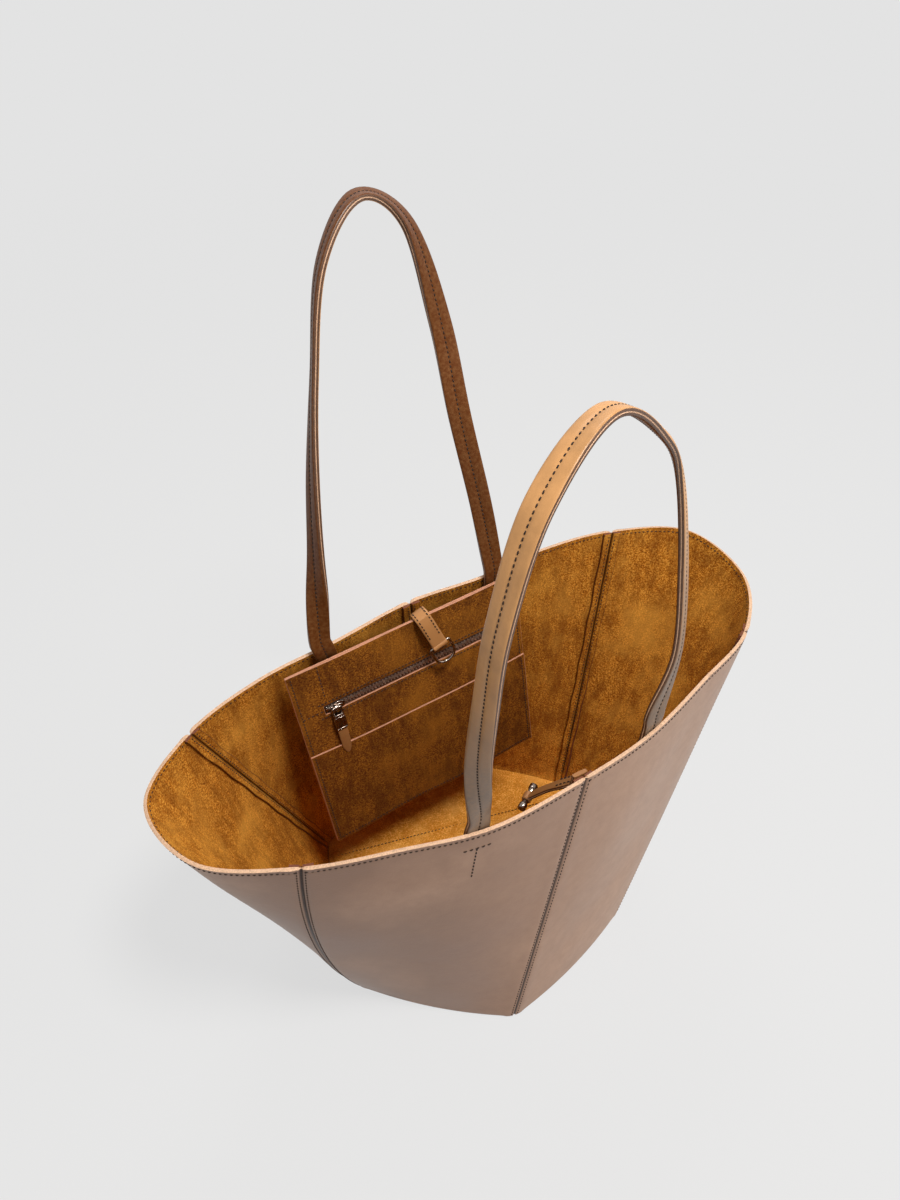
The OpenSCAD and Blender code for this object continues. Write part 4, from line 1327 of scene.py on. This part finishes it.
def pouch_rows():
    """Rows round the pouch's edges and window, and the two short tacks at its top left."""
    inset = 0.003
    on_slip = -POUCH_T - HAIR
    rows = []
    above = np.linspace(-inset, -SLIP_DROP + 0.002, 30)
    below = np.linspace(-SLIP_DROP - 0.003, -POUCH_H + inset, 30)
    for x in (inset, POUCH_W - inset):
        rows.append(pouch_row(x, above, 0.0))
        rows.append(pouch_row(x, below, on_slip))
        rows.append(pouch_row(x, np.linspace(-inset, -POUCH_H + inset, 40), 2 * POUCH_T))
    across = np.linspace(inset + 0.002, POUCH_W - inset - 0.002, 50)
    rows.append(pouch_row(across, -POUCH_H + inset, on_slip))
    rows.append(pouch_row(across, -POUCH_H + inset, 2 * POUCH_T))
    beside_zip = np.linspace(SLOT_START - inset, SLOT_START + SLOT_L + inset, 40)
    from_zip = SLOT_H / 2 + 0.0024
    rows.append(pouch_row(beside_zip, -ZIP_DROP - from_zip, 0.0))
    rows.append(pouch_row(beside_zip, -ZIP_DROP + from_zip, 0.0))
    tack_x = 0.0215
    rows.append(pouch_row(tack_x, np.linspace(-0.0015, -0.027, 10), 0.0))
    rows.append(pouch_row(np.linspace(0.004, 0.0165, 6), -ZIP_DROP, 0.0))
    return rows


# The zip

def build_tapes():
    """Two woven tapes behind the window, a hair apart where the teeth meet."""
    length = 0.155
    near, far, thick = 0.0009, 0.0129, 0.0004
    start = SLOT_START + SLOT_L / 2 - length / 2
    tapes = []
    for side in (-1, 1):
        x, z = np.meshgrid(np.linspace(start, start + length, 40),
                           -ZIP_DROP + side * np.linspace(near, far, 9))
        front = np.stack([x, np.full_like(x, POUCH_T + HAIR), z], -1)
        back = front + (0, thick, 0)
        tapes.append(settle(leather_sheet("tape", placed(POUCH_PLACE, front), placed(
            POUCH_PLACE, back), [material_of("tape")] * 3), angle=50))
    return join("zip_tape_pair", tapes)


def tooth_shape():
    """One cast tooth: a block with a rounded nose, gripping its tape."""
    half = CHAIN_W / 2
    # Rows of millimetres along the tape and shares of the tooth's length
    outline = [(-0.45, -1.0), (0.45, -1.0), (0.45, 0.55), (0.28, 0.98), (-0.28, 0.98),
               (-0.45, 0.55)]
    points = [(x * 0.001, z * half * 0.78) for x, z in outline]
    n = len(points)
    verts = [(x, y, z) for y in (-CHAIN_T / 2, -CHAIN_T * 0.38, CHAIN_T / 2)
             for x, z in [(px * (0.8 if y < -CHAIN_T * 0.45 else 1), pz) for px, pz in points]]
    faces = [tuple(range(n)), tuple(reversed(range(2 * n, 3 * n)))]
    for row in (0, n):
        faces += [(row + i, row + i + n, row + (i + 1) % n + n, row + (i + 1) % n)
                  for i in range(n)]
    return mesh_object("tooth_shape", verts, faces, [0] * len(faces), [material_of("metal")])


def teeth_tree():
    """Geometry Nodes that set a row of teeth on each tape, half a pitch apart."""
    tree = bpy.data.node_groups.new("set_zip_teeth", "GeometryNodeTree")
    given = tree_inputs(tree, "Teeth", Base="Geometry", Count="Int", Pitch="Float",
                        Offset="Float", Tooth="Object", Metal="Material")
    step = add(tree, "ShaderNodeCombineXYZ", None, {"X": given["Pitch"]})
    half = add(tree, "ShaderNodeMath", {"operation": "MULTIPLY"}, {0: given["Pitch"], 1: 0.5})
    down = add(tree, "ShaderNodeMath", {"operation": "MULTIPLY"}, {0: given["Offset"], 1: -1.0})
    upper = add(tree, "ShaderNodeCombineXYZ", None, {"Z": given["Offset"]})
    lower = add(tree, "ShaderNodeCombineXYZ", None, {"X": half.outputs[0], "Z": down.outputs[0]})
    shape = add(tree, "GeometryNodeObjectInfo", None, {"Object": given["Tooth"]})
    sides = []
    for start, turn in ((upper, (math.pi, 0, 0)), (lower, (0, 0, 0))):
        line = add(tree, "GeometryNodeMeshLine", None, {
            "Count": given["Count"], "Start Location": start.outputs[0],
            "Offset": step.outputs[0]})
        sides.append(add(tree, "GeometryNodeInstanceOnPoints", None, {
            "Points": line.outputs[0], "Instance": shape.outputs["Geometry"],
            "Rotation": turn}))
    both = add(tree, "GeometryNodeJoinGeometry")
    for side in sides:
        tree.links.new(side.outputs[0], both.inputs[0])
    real = add(tree, "GeometryNodeRealizeInstances", None, {"Geometry": both.outputs[0]})
    plated = add(tree, "GeometryNodeSetMaterial", None, {
        "Geometry": real.outputs[0], "Material": given["Metal"]})
    add(tree, "NodeGroupOutput", None, {"Teeth": plated.outputs[0]})
    return tree


def build_teeth():
    """Both rows of the zip's teeth."""
    base_mesh = mesh_object("zip_teeth_row", [(0, 0, 0), (0.001, 0, 0), (0, 0, 0.001)],
                            [(0, 1, 2)], [0], [material_of("metal")])
    shape = tooth_shape()
    obj = apply_nodes(base_mesh, teeth_tree(), {
        "Count": sizes().tooth_count, "Pitch": TOOTH_PITCH, "Offset": 0.00052,
        "Tooth": shape, "Metal": material_of("teeth"),
    })
    bpy.data.objects.remove(shape)
    first_tooth = (SLOT_START + 0.00345, CHAIN_Y, -ZIP_DROP)
    obj.data.transform(POUCH_PLACE @ Matrix.Translation(first_tooth))
    obj.data.polygons.foreach_set("use_smooth", [False] * len(obj.data.polygons))
    return obj


def rounded(half_w, half_h, radius, steps=5):
    """Outline of a rectangle with round corners, counter-clockwise."""
    out = []
    for cx, cz, start in ((1, 1, 0), (-1, 1, 90), (-1, -1, 180), (1, -1, 270)):
        for i in range(steps + 1):
            a = math.radians(start + 90 * i / steps)
            out.append((cx * (half_w - radius) + radius * math.cos(a),
                        cz * (half_h - radius) + radius * math.sin(a)))
    return out


def build_stops():
    """A metal stop at each end of the teeth."""
    stops = []
    outline = rounded(0.00095, 0.0019, 0.0004, 3)
    low, high = CHAIN_Y - 0.001, CHAIN_Y + 0.001
    for x in (SLOT_START + 0.0017, SLOT_START + SLOT_L - 0.0016):
        place = POUCH_PLACE @ Matrix.Translation((x, 0, -ZIP_DROP))
        stops.append(plate("stop", outline, low, high, place, material_of("metal"), 0.00025))
    return join("zip_end_stops", stops)


def build_slider():
    """Zip slider: a waisted body with a bridge that the puller hangs from."""
    body = []
    half_l, sides = 0.0069, 48
    for i in range(sides):
        a = 2 * math.pi * i / sides
        x = half_l * math.cos(a)
        spread = 0.0021 + 0.0014 * fade(math.cos(a), -0.5, 0.35)
        body.append((x, spread * math.copysign(abs(math.sin(a)) ** 0.55, math.sin(a))))
    top = plate("body", body, PLATE_FRONT, PLATE_FRONT + 0.00105, SLIDER_PLACE,
                material_of("metal"), 0.0004)
    ridge = plate("ridge", rounded(0.0052, 0.0011, 0.0009), PLATE_FRONT - 0.00035,
                  PLATE_FRONT + 0.0003, SLIDER_PLACE, material_of("metal"), 0.0003)
    arch = []
    steps = 24
    for i in range(steps + 1):
        a = math.pi * i / steps
        ring = []
        # Outer edge of the bridge, then its inner edge
        for half_w, half_z, rise, ends in ((0.0016, 0.0021, 0.0033, (-1, 1)),
                                           (0.0014, 0.0014, 0.0027, (1, -1))):
            y = PLATE_FRONT + 0.0004 - rise * math.sin(a) ** 0.6
            ring += [(end * half_w, y, half_z * math.cos(a)) for end in ends]
        arch.append(ring)
    bridge = settle(swept("bridge", arch, [0], [material_of("metal")]),
                    bevel=0.00018, segments=2, angle=35)
    bridge.data.transform(SLIDER_PLACE)
    return join("slider_body", [top, ridge, bridge])


def rounded_loop(half_w, top, bottom, radius, steps=8):
    """Closed path of a wire loop in x and z."""
    out = []
    corners = ((half_w, top, 0), (-half_w, top, 90), (-half_w, bottom, 180), (half_w, bottom, 270))
    for x, z, start in corners:
        cx = x - math.copysign(radius, x)
        cz = z - radius if z == top else z + radius
        for i in range(steps + 1):
            a = math.radians(start + 90 * i / steps)
            out.append((cx + radius * math.cos(a), 0, cz + radius * math.sin(a)))
    return out


def build_puller():
    """Puller: a wire loop, a metal collar and a leather tag with a pointed end."""
    loop = wire("puller_wire", [(x, BAR_Y, z) for x, _, z in rounded_loop(
        0.0032, 0.0, COLLAR_TOP - 0.0016, 0.0011)], 0.0008, material_of("metal"), True)
    loop.data.transform(SLIDER_PLACE)
    mid = TAG_BACK - TAG_T / 2
    half_w = 0.0042
    outline = [(0.0024, COLLAR_TOP + 0.0004), (0.0031, COLLAR_TOP), (half_w, COLLAR_TOP - 0.004),
               (half_w, COLLAR_TOP - COLLAR_L + 0.0008), (0.0038, COLLAR_TOP - COLLAR_L)]
    outline = outline + [(-x, z) for x, z in reversed(outline)]
    shell = plate("collar", outline[::-1], mid - 0.0015, mid + 0.0015, SLIDER_PLACE,
                  material_of("metal"), 0.0005)
    groove = []
    for z in (COLLAR_TOP - 0.0022, COLLAR_TOP - COLLAR_L + 0.0016):
        place = SLIDER_PLACE @ Matrix.Translation((0, 0, z))
        groove.append(plate("bead", rounded(0.0037, 0.0004, 0.0003, 3), mid - 0.0018,
                            mid + 0.0018, place, material_of("metal"), 0.0002))
    collar = join("puller_clip", [shell] + groove)
    tip = COLLAR_TOP - COLLAR_L - TAG_L
    half = [(0.0034, COLLAR_TOP - COLLAR_L + 0.002), (0.0035, COLLAR_TOP - COLLAR_L - 0.004),
            (0.0033, tip + 0.0075), (0.0027, tip + 0.0042), (0.0015, tip + 0.0012),
            (0.0004, tip)]
    outline = half + [(-x, z) for x, z in reversed(half)]
    tag = plate("puller_leather", outline[::-1], mid - TAG_T / 2, mid + TAG_T / 2,
                SLIDER_PLACE, material_of("toggle"), 0.0004)
    return loop, collar, tag


# Ring tab, ring and toggle

def smooth_path(points, count):
    """A smooth line through points, in even steps."""
    points = np.asarray(points, float)
    u = np.linspace(0, len(points) - 1, 400)
    fine = arch_value(points, u)
    run = np.concatenate([[0], np.cumsum(np.linalg.norm(np.diff(fine, axis=0), axis=1))])
    steps = np.linspace(0, run[-1], count)
    return np.stack([np.interp(steps, run, fine[:, i]) for i in range(fine.shape[1])], -1)


def tab_frames(points, widths, count):
    """Frames of a tab whose width direction turns from one given direction to the other."""
    data = np.concatenate([np.asarray(points), np.asarray(widths)], axis=1)
    line = smooth_path(data, count)
    middle, width = line[:, :3], line[:, 3:]
    way = unit(np.gradient(middle, axis=0))
    width = unit(width - way * (width * way).sum(-1, keepdims=True))
    return middle, width, np.cross(way, width)


def barrel(name, axis_half, inner, outer, place, material):
    """Leather wrapped round a bar, as a sleeve along x with soft ends."""
    profile = [(-axis_half, inner), (-axis_half, outer - 0.0005), (-axis_half + 0.0005, outer),
               (axis_half - 0.0005, outer), (axis_half, outer - 0.0005), (axis_half, inner)]
    a = np.arange(28) * 2 * np.pi / 28
    rings = [[(x, r * math.cos(b), r * math.sin(b)) for b in a] for x, r in profile]
    obj = settle(swept(name, rings, [0], [material], closed=True), angle=50)
    obj.data.transform(place)
    return obj


def direction(place, v):
    """A direction of a piece's own drawing, turned into the bag's frame."""
    return np.array(place.to_3x3() @ Vector(v))


def tab_points():
    """Middle line of the ring tab: sewn root behind the pouch, knee over it, ring bar."""
    mid = TAB_IN + TAB_T / 2
    root = [wall_at(float(BACK_SEAM), below_rim(d), mid) for d in (0.034, 0.029, 0.024)]
    room = 0.00035 + TAB_W / 2 * math.sin(TAB_TURN)
    hinge = wall_at(float(BACK_SEAM), below_rim(0.001 - TAB_T / 2 - room), mid)
    x = (TAB_PLACE.inverted() @ Vector(hinge)).x
    # Rows of y and z in the tab's own drawing, up behind the pouch and down its front
    spots = [(0.0092, -0.0115), (0.0071, -0.0040), (0.0046, 0.0016), TAB_KNEE,
             (-0.0043, -0.0030), (-0.0052, -0.0105), (RING_BAR[0], RING_BAR[1] + 0.0012)]
    rest = [np.array(TAB_PLACE @ Vector((x, y, z))) for y, z in spots]
    bar = TAB_PLACE @ Matrix.Translation((x, *RING_BAR))
    return root, rest, bar


def rim_way_at(seam, axis):
    """Direction along the rim at a seam, to the side that the axis points to."""
    reach, near_rim = 0.02, 0.98
    way = unit(wall(seam + reach, near_rim) - wall(seam - reach, near_rim))
    return -way if way @ axis < 0 else way


def folded_leather(name, frames, half_w, half_t, leather, *more):
    """A folded tab of one leather, joined with more pieces of it."""
    rings, slots = folded_section(*frames, half_w, half_t, TAB_SECTION)
    body = settle(swept("strap", rings, slots, [
        leather, material_of("edge"), material_of("painted"), leather]), angle=60)
    return join(name, [body, *more])


def build_ring_tab():
    """Folded leather tab that bends over the pouch and holds the ring."""
    root, rest, bar = tab_points()
    axis = direction(TAB_PLACE, (1, 0, 0))
    rim_way = rim_way_at(BACK_SEAM, axis)
    widths = [rim_way] * 3 + [unit(rim_way + axis)] + [axis] * 6
    frames = tab_frames(root + rest, widths, 120)
    leather = material_of("tab")
    sleeve = barrel("sleeve", TAB_W / 2, RING_WIRE + SLEEVE_GAP, 0.0024, bar, leather)
    tab = folded_leather("ring_tab_leather", frames, TAB_W / 2, TAB_T / 2, leather, sleeve)
    # The tab's bend lies behind the pouch, between two places on a level line
    x = (TAB_PLACE.inverted() @ Vector(rest[0])).x
    sewn, free = (TAB_PLACE @ Vector((x, y, -0.008)) for y in (0.0125, 0.0080))
    return tab, frames, sewn, free, bar


def build_ring(bar):
    """Bent wire ring with a straight bar."""
    arc_r = RING_W / 2 + RING_WIRE
    leg = RING_H + 2 * RING_WIRE - arc_r - RING_WIRE
    corner_r, corner_steps, arc_steps = 0.0014, 8, 32
    path = []
    for x, start in ((arc_r, 0), (-arc_r, 90)):
        cx = x - math.copysign(corner_r, x)
        for i in range(corner_steps + 1):
            a = math.radians(start + 90 * i / corner_steps)
            path.append((cx + corner_r * math.cos(a), 0, -corner_r + corner_r * math.sin(a)))
    for i in range(arc_steps + 1):
        a = math.pi + math.pi * i / arc_steps
        path.append((arc_r * math.cos(a), 0, -leg + arc_r * math.sin(a)))
    obj = wire("ring_wire", path, RING_WIRE, material_of("metal"), True, 18)
    obj.data.transform(bar)
    return obj


def build_toggle():
    """Turned toggle bar with a domed cap at each end."""
    half = TOGGLE_L / 2
    inner = half - CAP_L
    # Rows of place along the bar and radius: neck, rim, bead and dome of the cap
    side = [(inner - 0.0002, TOGGLE_R), (inner, CAP_R - 0.0004), (inner + 0.0003, CAP_R),
            (half - 0.0014, CAP_R), (half - 0.0011, CAP_R - 0.0003), (half - 0.0008, CAP_R),
            (half - 0.0004, CAP_R - 0.0002), (half - 0.0001, CAP_R * 0.7), (half, 0.0002)]
    profile = [(-x, r) for x, r in reversed(side)] + side
    return turned("toggle_rod", profile, TOGGLE_PLACE, material_of("metal"))


def build_toggle_strap():
    """Folded leather strap from the front seam down to the toggle."""
    mid = TAB_IN + TAB_T / 2
    root = [wall_at(float(FRONT_SEAM), below_rim(d), mid) for d in (0.0012, 0.005, 0.009)]
    bend = wall_at(float(FRONT_SEAM), below_rim(0.009 + TAB_T / 2 + 0.0004), mid + 0.003)
    end = TOGGLE_PLACE.translation
    axis = direction(TOGGLE_PLACE, (1, 0, 0))
    rim_way = rim_way_at(FRONT_SEAM, axis)
    way = np.array(end) - bend
    rise = np.array([0, 0, 0.0016])
    points = [root[0], root[1], root[2], bend, bend + way * 0.35 + rise,
              bend + way * 0.7 + rise, np.array(end) - unit(way) * 0.0015]
    widths = [rim_way, rim_way, rim_way, unit(rim_way + 0.4 * axis),
              unit(rim_way + 2 * axis), axis, axis]
    count, wide, narrow, half_t = 48, 0.0053, 0.0030, 0.0013
    frames = tab_frames(points, widths, count)
    taper = np.interp(np.linspace(0, 1, count), [0, 0.45, 0.8], [wide, wide, narrow])
    leather = material_of("toggle")
    sleeve = barrel("sleeve", narrow, TOGGLE_R + SLEEVE_GAP, 0.0030, TOGGLE_PLACE, leather)
    strap = folded_leather("toggle_strap_leather", frames, taper[:, None], half_t, leather,
                           sleeve)
    return strap, frames, bend, unit(way)


def tab_rows(frames, half_w, inset, first, last):
    """Rows of stitches along both edges of both faces, from the first frame to the last."""
    middle, width, face = frames
    stand = TAB_T / 2 * 1.06
    rows = []
    for side in (-1, 1):
        for over in (-1, 1):
            line = middle + width * side * (half_w - inset) + face * over * stand
            rows.append((line[first:last], over * face[first:last]))
    return rows


# Operators

class BAG_OT_panels(bpy.types.Operator):
    """Builds the six wall panels and their turned-in seam edges"""
    bl_idname = "bag.panels"
    bl_label = "Wall panels"

    def execute(self, context):
        names = ["panel_front_right", "panel_wing_right", "panel_back_right",
                 "panel_back_left", "panel_wing_left", "panel_front_left"]
        for seam, node in enumerate(names):
            obj = build_panel(seam, node + "_leather")
            finish_piece(obj, "shell", "body_leather", node)
        finish_piece(build_allowances(), "shell", "suede")
        return {"FINISHED"}


class BAG_OT_floor(bpy.types.Operator):
    """Builds the floor and the loose lap on it"""
    bl_idname = "bag.floor"
    bl_label = "Floor"

    def execute(self, context):
        finish_piece(build_floor(), "shell", "suede", "floor_panel")
        finish_piece(build_lap(), "shell", "suede", "floor_lap")
        return {"FINISHED"}


class BAG_OT_straps(bpy.types.Operator):
    """Builds the two shoulder straps, sewn feet and stitched middle lines"""
    bl_idname = "bag.straps"
    bl_label = "Shoulder straps"

    def execute(self, context):
        rows = (("front", "front_left", "front_right", FRONT_RISE, FRONT_LEAN, FRONT_ARCH),
                ("back", "back_left", "back_right", BACK_RISE, BACK_LEAN, BACK_ARCH))
        for side, left, right, rise, lean, arch in rows:
            frames = strap_frames(FEET[left], FEET[right], rise, lean, arch)
            middle, _, face, steps = frames
            body = side + "_strap"
            # The face turned from the light is painted darker as shade: the back of the front strap and the
            # front of the back strap
            faces = [material_of(body), material_of("strap_shaded_side")]
            if side == "back":
                faces.reverse()
            strap = build_strap(side + "_strap_leather", frames, *faces)
            # The row runs 12 mm down into both feet, sunk into the strap's stitch channel
            hidden = FOOT_DEPTH - 0.012
            open_part = (steps > hidden) & (steps < steps[-1] - hidden)
            lines = [(middle[open_part] + over * face[open_part] * STRAP_T / 2 * 0.86,
                      over * face[open_part]) for over in (-1, 1)]
            thread = stitch_rows(side + "_strap_stitches", lines, sizes().strap_pitch)
            # The strap bends a little below and above the hinge that the frame gives it
            bend_below, bend_above = 0.006, 0.009
            joint = [j for j in frame["joints"] if j["name"] == body + "_swing"][0]
            hinge = Vector(joint["pos_m"])
            axis = Vector(joint["axis"])
            up = Vector((0, 0, 1)) - axis * axis.z
            up.normalize()
            for obj in (strap, thread):
                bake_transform(obj, "shell", body, hinge - up * bend_below, hinge + up * bend_above)
            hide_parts(body, body + "_feet")
        return {"FINISHED"}


class BAG_OT_pouch(bpy.types.Operator):
    """Builds the hanging pouch with its slip pocket"""
    bl_idname = "bag.pouch"
    bl_label = "Pouch"

    def execute(self, context):
        front, back, slip = build_pouch()
        finish_piece(front, "pouch", "pouch_leather", "pouch_front")
        finish_piece(back, "pouch", "pouch_leather", "pouch_back")
        finish_piece(slip, "pouch", "pouch_leather", "slip_pocket")
        thread = stitch_rows("pouch_stitches", pouch_rows(), sizes().pouch_pitch)
        finish_piece(thread, "pouch", "thread")
        return {"FINISHED"}


class BAG_OT_zip(bpy.types.Operator):
    """Builds the zip: tapes, teeth, stops, slider and puller"""
    bl_idname = "bag.zip"
    bl_label = "Zip"

    def execute(self, context):
        finish_piece(build_tapes(), "pouch", "zip_tape", "zip_tapes")
        finish_piece(build_teeth(), "pouch", "dark_metal", "zip_teeth")
        finish_piece(build_stops(), "pouch", "dark_metal", "zip_stops")
        finish_piece(build_slider(), "slider", "dark_metal", "zip_slider")
        loop, collar, tag = build_puller()
        finish_piece(loop, "puller", "dark_metal", "puller_loop")
        finish_piece(collar, "puller", "dark_metal", "puller_collar")
        finish_piece(tag, "puller", "strap_leather", "puller_tag")
        return {"FINISHED"}


class BAG_OT_ring(bpy.types.Operator):
    """Builds the leather tab over the pouch and its ring"""
    bl_idname = "bag.ring"
    bl_label = "Ring and tab"

    def execute(self, context):
        tab, frames, sewn, free, bar = build_ring_tab()
        rows = tab_rows(frames, TAB_W / 2, inset=0.0017, first=6, last=-3)
        thread = stitch_rows("ring_tab_stitches", rows, sizes().strap_pitch)
        for obj in (tab, thread):
            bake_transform(obj, "shell", "ring_tab", sewn, free)
        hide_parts("ring_tab_root", "ring_tab")
        finish_piece(build_ring(bar), "ring", "dark_metal", "d_ring")
        return {"FINISHED"}


class BAG_OT_toggle(bpy.types.Operator):
    """Builds the toggle and the leather strap that it hangs from"""
    bl_idname = "bag.toggle"
    bl_label = "Toggle"

    def execute(self, context):
        strap, frames, bend, way = build_toggle_strap()
        rows = tab_rows(frames, 0.0050, inset=0.0019, first=2, last=-20)
        thread = stitch_rows("toggle_stitches", rows, sizes().strap_pitch)
        for obj in (strap, thread):
            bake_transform(obj, "shell", "toggle_strap", bend - way * 0.0015, bend + way * 0.004)
        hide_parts("toggle_root", "toggle_strap")
        finish_piece(build_toggle(), "toggle", "dark_metal", "toggle_bar", "toggle_caps")
        return {"FINISHED"}


class BAG_OT_stitches(bpy.types.Operator):
    """Sews the rim, the seams, the strap feet and the floor"""
    bl_idname = "bag.stitches"
    bl_label = "Body stitching"

    def execute(self, context):
        rim_rows, seam_rows = body_rows()
        pitch = sizes().seam_pitch
        finish_piece(stitch_rows("rim_stitches", rim_rows, pitch), "shell", "thread")
        finish_piece(stitch_rows("seam_stitches", seam_rows, pitch), "shell", "thread")
        finish_piece(stitch_rows("foot_stitches", foot_rows(), FOOT_PITCH, FOOT_STITCH_SIZE),
                     "shell", "thread", "foot_stitch")
        finish_piece(stitch_rows("floor_stitches", floor_rows(), pitch), "shell", "thread")
        return {"FINISHED"}


class BAG_OT_stage(bpy.types.Operator):
    """Sets the pale floor, the soft lights and the camera"""
    bl_idname = "bag.stage"
    bl_label = "Stage"

    def execute(self, context):
        make_stage()
        return {"FINISHED"}


# The stage

def seen_or_mirrored(tree):
    """1 for the camera's, reflected and refracted rays, and 0 for all others."""
    path = add(tree, "ShaderNodeLightPath")
    some = add(tree, "ShaderNodeMath", {"operation": "MAXIMUM"}, {
        0: path.outputs["Is Camera Ray"], 1: path.outputs["Is Glossy Ray"]})
    return add(tree, "ShaderNodeMath", {"operation": "MAXIMUM"}, {
        0: some.outputs[0], 1: path.outputs["Is Transmission Ray"]}).outputs[0]


def make_floor():
    """Pale floor that shows its own colour and the bag's soft shadow."""
    c = colours()
    half = 14.0
    # A tenth of a millimetre under the bag
    z = -0.0001
    floor = mesh_object("studio_floor", [(-half, -half, z), (half, -half, z), (half, half, z),
                                         (-half, half, z)], [(0, 1, 2, 3)], [0], [])
    material, tree = new_material("matt_studio_floor")
    lit = add(tree, "ShaderNodeBsdfDiffuse", None, {"Color": rgba(c.stage)})
    glow = add(tree, "ShaderNodeEmission", None, {"Color": rgba(c.stage), "Strength": 1.0})
    # Mostly the flat pale colour, all of it far away, with some lit floor so that shadows show
    far = add(tree, "ShaderNodeVectorMath", {"operation": "LENGTH"}, {0: object_coords(tree)})
    flat = remap(tree, far.outputs["Value"], 0.35, 1.6, 0.86, 1.0)
    share = add(tree, "ShaderNodeMath", {"operation": "MULTIPLY"}, {
        0: seen_or_mirrored(tree), 1: flat})
    both = add(tree, "ShaderNodeMixShader", None, {
        0: share.outputs[0], 1: lit.outputs[0], 2: glow.outputs[0]})
    add(tree, "ShaderNodeOutputMaterial", None, {"Surface": both.outputs[0]})
    floor.data.materials.append(material)


def make_world():
    """Even light from all sides, and the pale backdrop that the camera sees."""
    c = colours()
    world = bpy.data.worlds.new("studio")
    bpy.context.scene.world = world
    world.use_nodes = True
    tree = world.node_tree
    tree.nodes.clear()
    fill = add(tree, "ShaderNodeBackground", None, {"Color": (1, 0.985, 0.97, 1),
                                                    "Strength": 0.36})
    seen = add(tree, "ShaderNodeBackground", None, {"Color": rgba(c.stage), "Strength": 1.0})
    both = add(tree, "ShaderNodeMixShader", None, {
        0: seen_or_mirrored(tree), 1: fill.outputs[0], 2: seen.outputs[0]})
    add(tree, "ShaderNodeOutputWorld", None, {"Surface": both.outputs[0]})


def soft_light(name, place, aim, size, power, colour):
    """A round lamp that faces a spot."""
    data = bpy.data.lights.new(name, "AREA")
    data.shape = "DISK"
    data.size = size
    data.energy = power
    data.color = colour
    light = bpy.data.objects.new(name, data)
    light.location = place
    light.rotation_euler = (Vector(aim) - Vector(place)).to_track_quat("-Z", "Y").to_euler()
    bpy.context.scene.collection.objects.link(light)


def make_camera():
    """The photograph's camera: above the front left, looking down into the bag."""
    # Fitted to the rim, the seams and the floor's corners in the photo of 900 x 1200 pixels
    photo_h, focal_px = 1200, 957
    right = Vector((0.95981, -0.28058, -0.00549))
    up = Vector((0.20528, 0.68861, 0.69547))
    ahead = Vector((0.19136, 0.66865, -0.71854))
    turn = Matrix((right, up, -ahead)).transposed().to_4x4()
    data = bpy.data.cameras.new("photo_camera")
    data.sensor_fit = "VERTICAL"
    data.sensor_height = 36.0
    data.lens = focal_px * data.sensor_height / photo_h
    data.clip_start = 0.01
    data.clip_end = 60
    camera = bpy.data.objects.new("photo_camera", data)
    camera.matrix_world = Matrix.Translation((-0.1176, -0.3643, 0.7210)) @ turn
    bpy.context.scene.collection.objects.link(camera)
    bpy.context.scene.camera = camera


def make_stage():
    """Floor, backdrop, lamps and camera."""
    make_floor()
    make_world()
    soft_light("key", place=(0.35, -0.5, 2.0), aim=(0, 0, 0.1), size=0.45, power=36,
               colour=(1, 0.985, 0.96))
    soft_light("side", place=(1.8, -0.6, 1.2), aim=(0, 0, 0.2), size=1.0, power=9,
               colour=(1, 0.98, 0.95))
    soft_light("back", place=(0.4, 1.4, 1.8), aim=(0, 0, 0.3), size=0.8, power=9,
               colour=(1, 0.985, 0.97))
    make_camera()
    bpy.context.scene.view_settings.view_transform = "Standard"


class BAG_PT_panel(bpy.types.Panel):
    """Lists the bag's pieces, sizes and colours"""
    bl_idname = "BAG_PT_panel"
    bl_label = "Tote bag"
    bl_space_type = "VIEW_3D"
    bl_region_type = "UI"
    bl_category = "Tote bag"

    def draw(self, context):
        for kind in OPERATORS:
            self.layout.operator(kind.bl_idname)
        for group in (context.scene.bag_sizes, context.scene.bag_colours):
            box = self.layout.box()
            for name in group.__annotations__:
                box.prop(group, name)


OPERATORS = (BAG_OT_panels, BAG_OT_floor, BAG_OT_straps, BAG_OT_pouch, BAG_OT_zip, BAG_OT_ring,
             BAG_OT_toggle, BAG_OT_stitches, BAG_OT_stage)
CLASSES = (BagSizes, BagColours) + OPERATORS + (BAG_PT_panel,)


def register():
    """Registers the classes and gives the scene its sizes and colours."""
    for kind in CLASSES:
        bpy.utils.register_class(kind)
    bpy.types.Scene.bag_sizes = PointerProperty(type=BagSizes)
    bpy.types.Scene.bag_colours = PointerProperty(type=BagColours)


def unregister():
    """Takes back what register added."""
    del bpy.types.Scene.bag_colours
    del bpy.types.Scene.bag_sizes
    for kind in reversed(CLASSES):
        bpy.utils.unregister_class(kind)


def main():
    """Builds the stage and the bag."""
    register()
    bpy.ops.bag.stage()
    bpy.ops.bag.panels()
    bpy.ops.bag.floor()
    bpy.ops.bag.straps()
    bpy.ops.bag.pouch()
    bpy.ops.bag.zip()
    bpy.ops.bag.ring()
    bpy.ops.bag.toggle()
    bpy.ops.bag.stitches()
    # The single stitch that all rows repeat is no piece of the bag
    bpy.data.objects.remove(_made.pop("stitch_shape"))


if __name__ == "__main__":
    main()
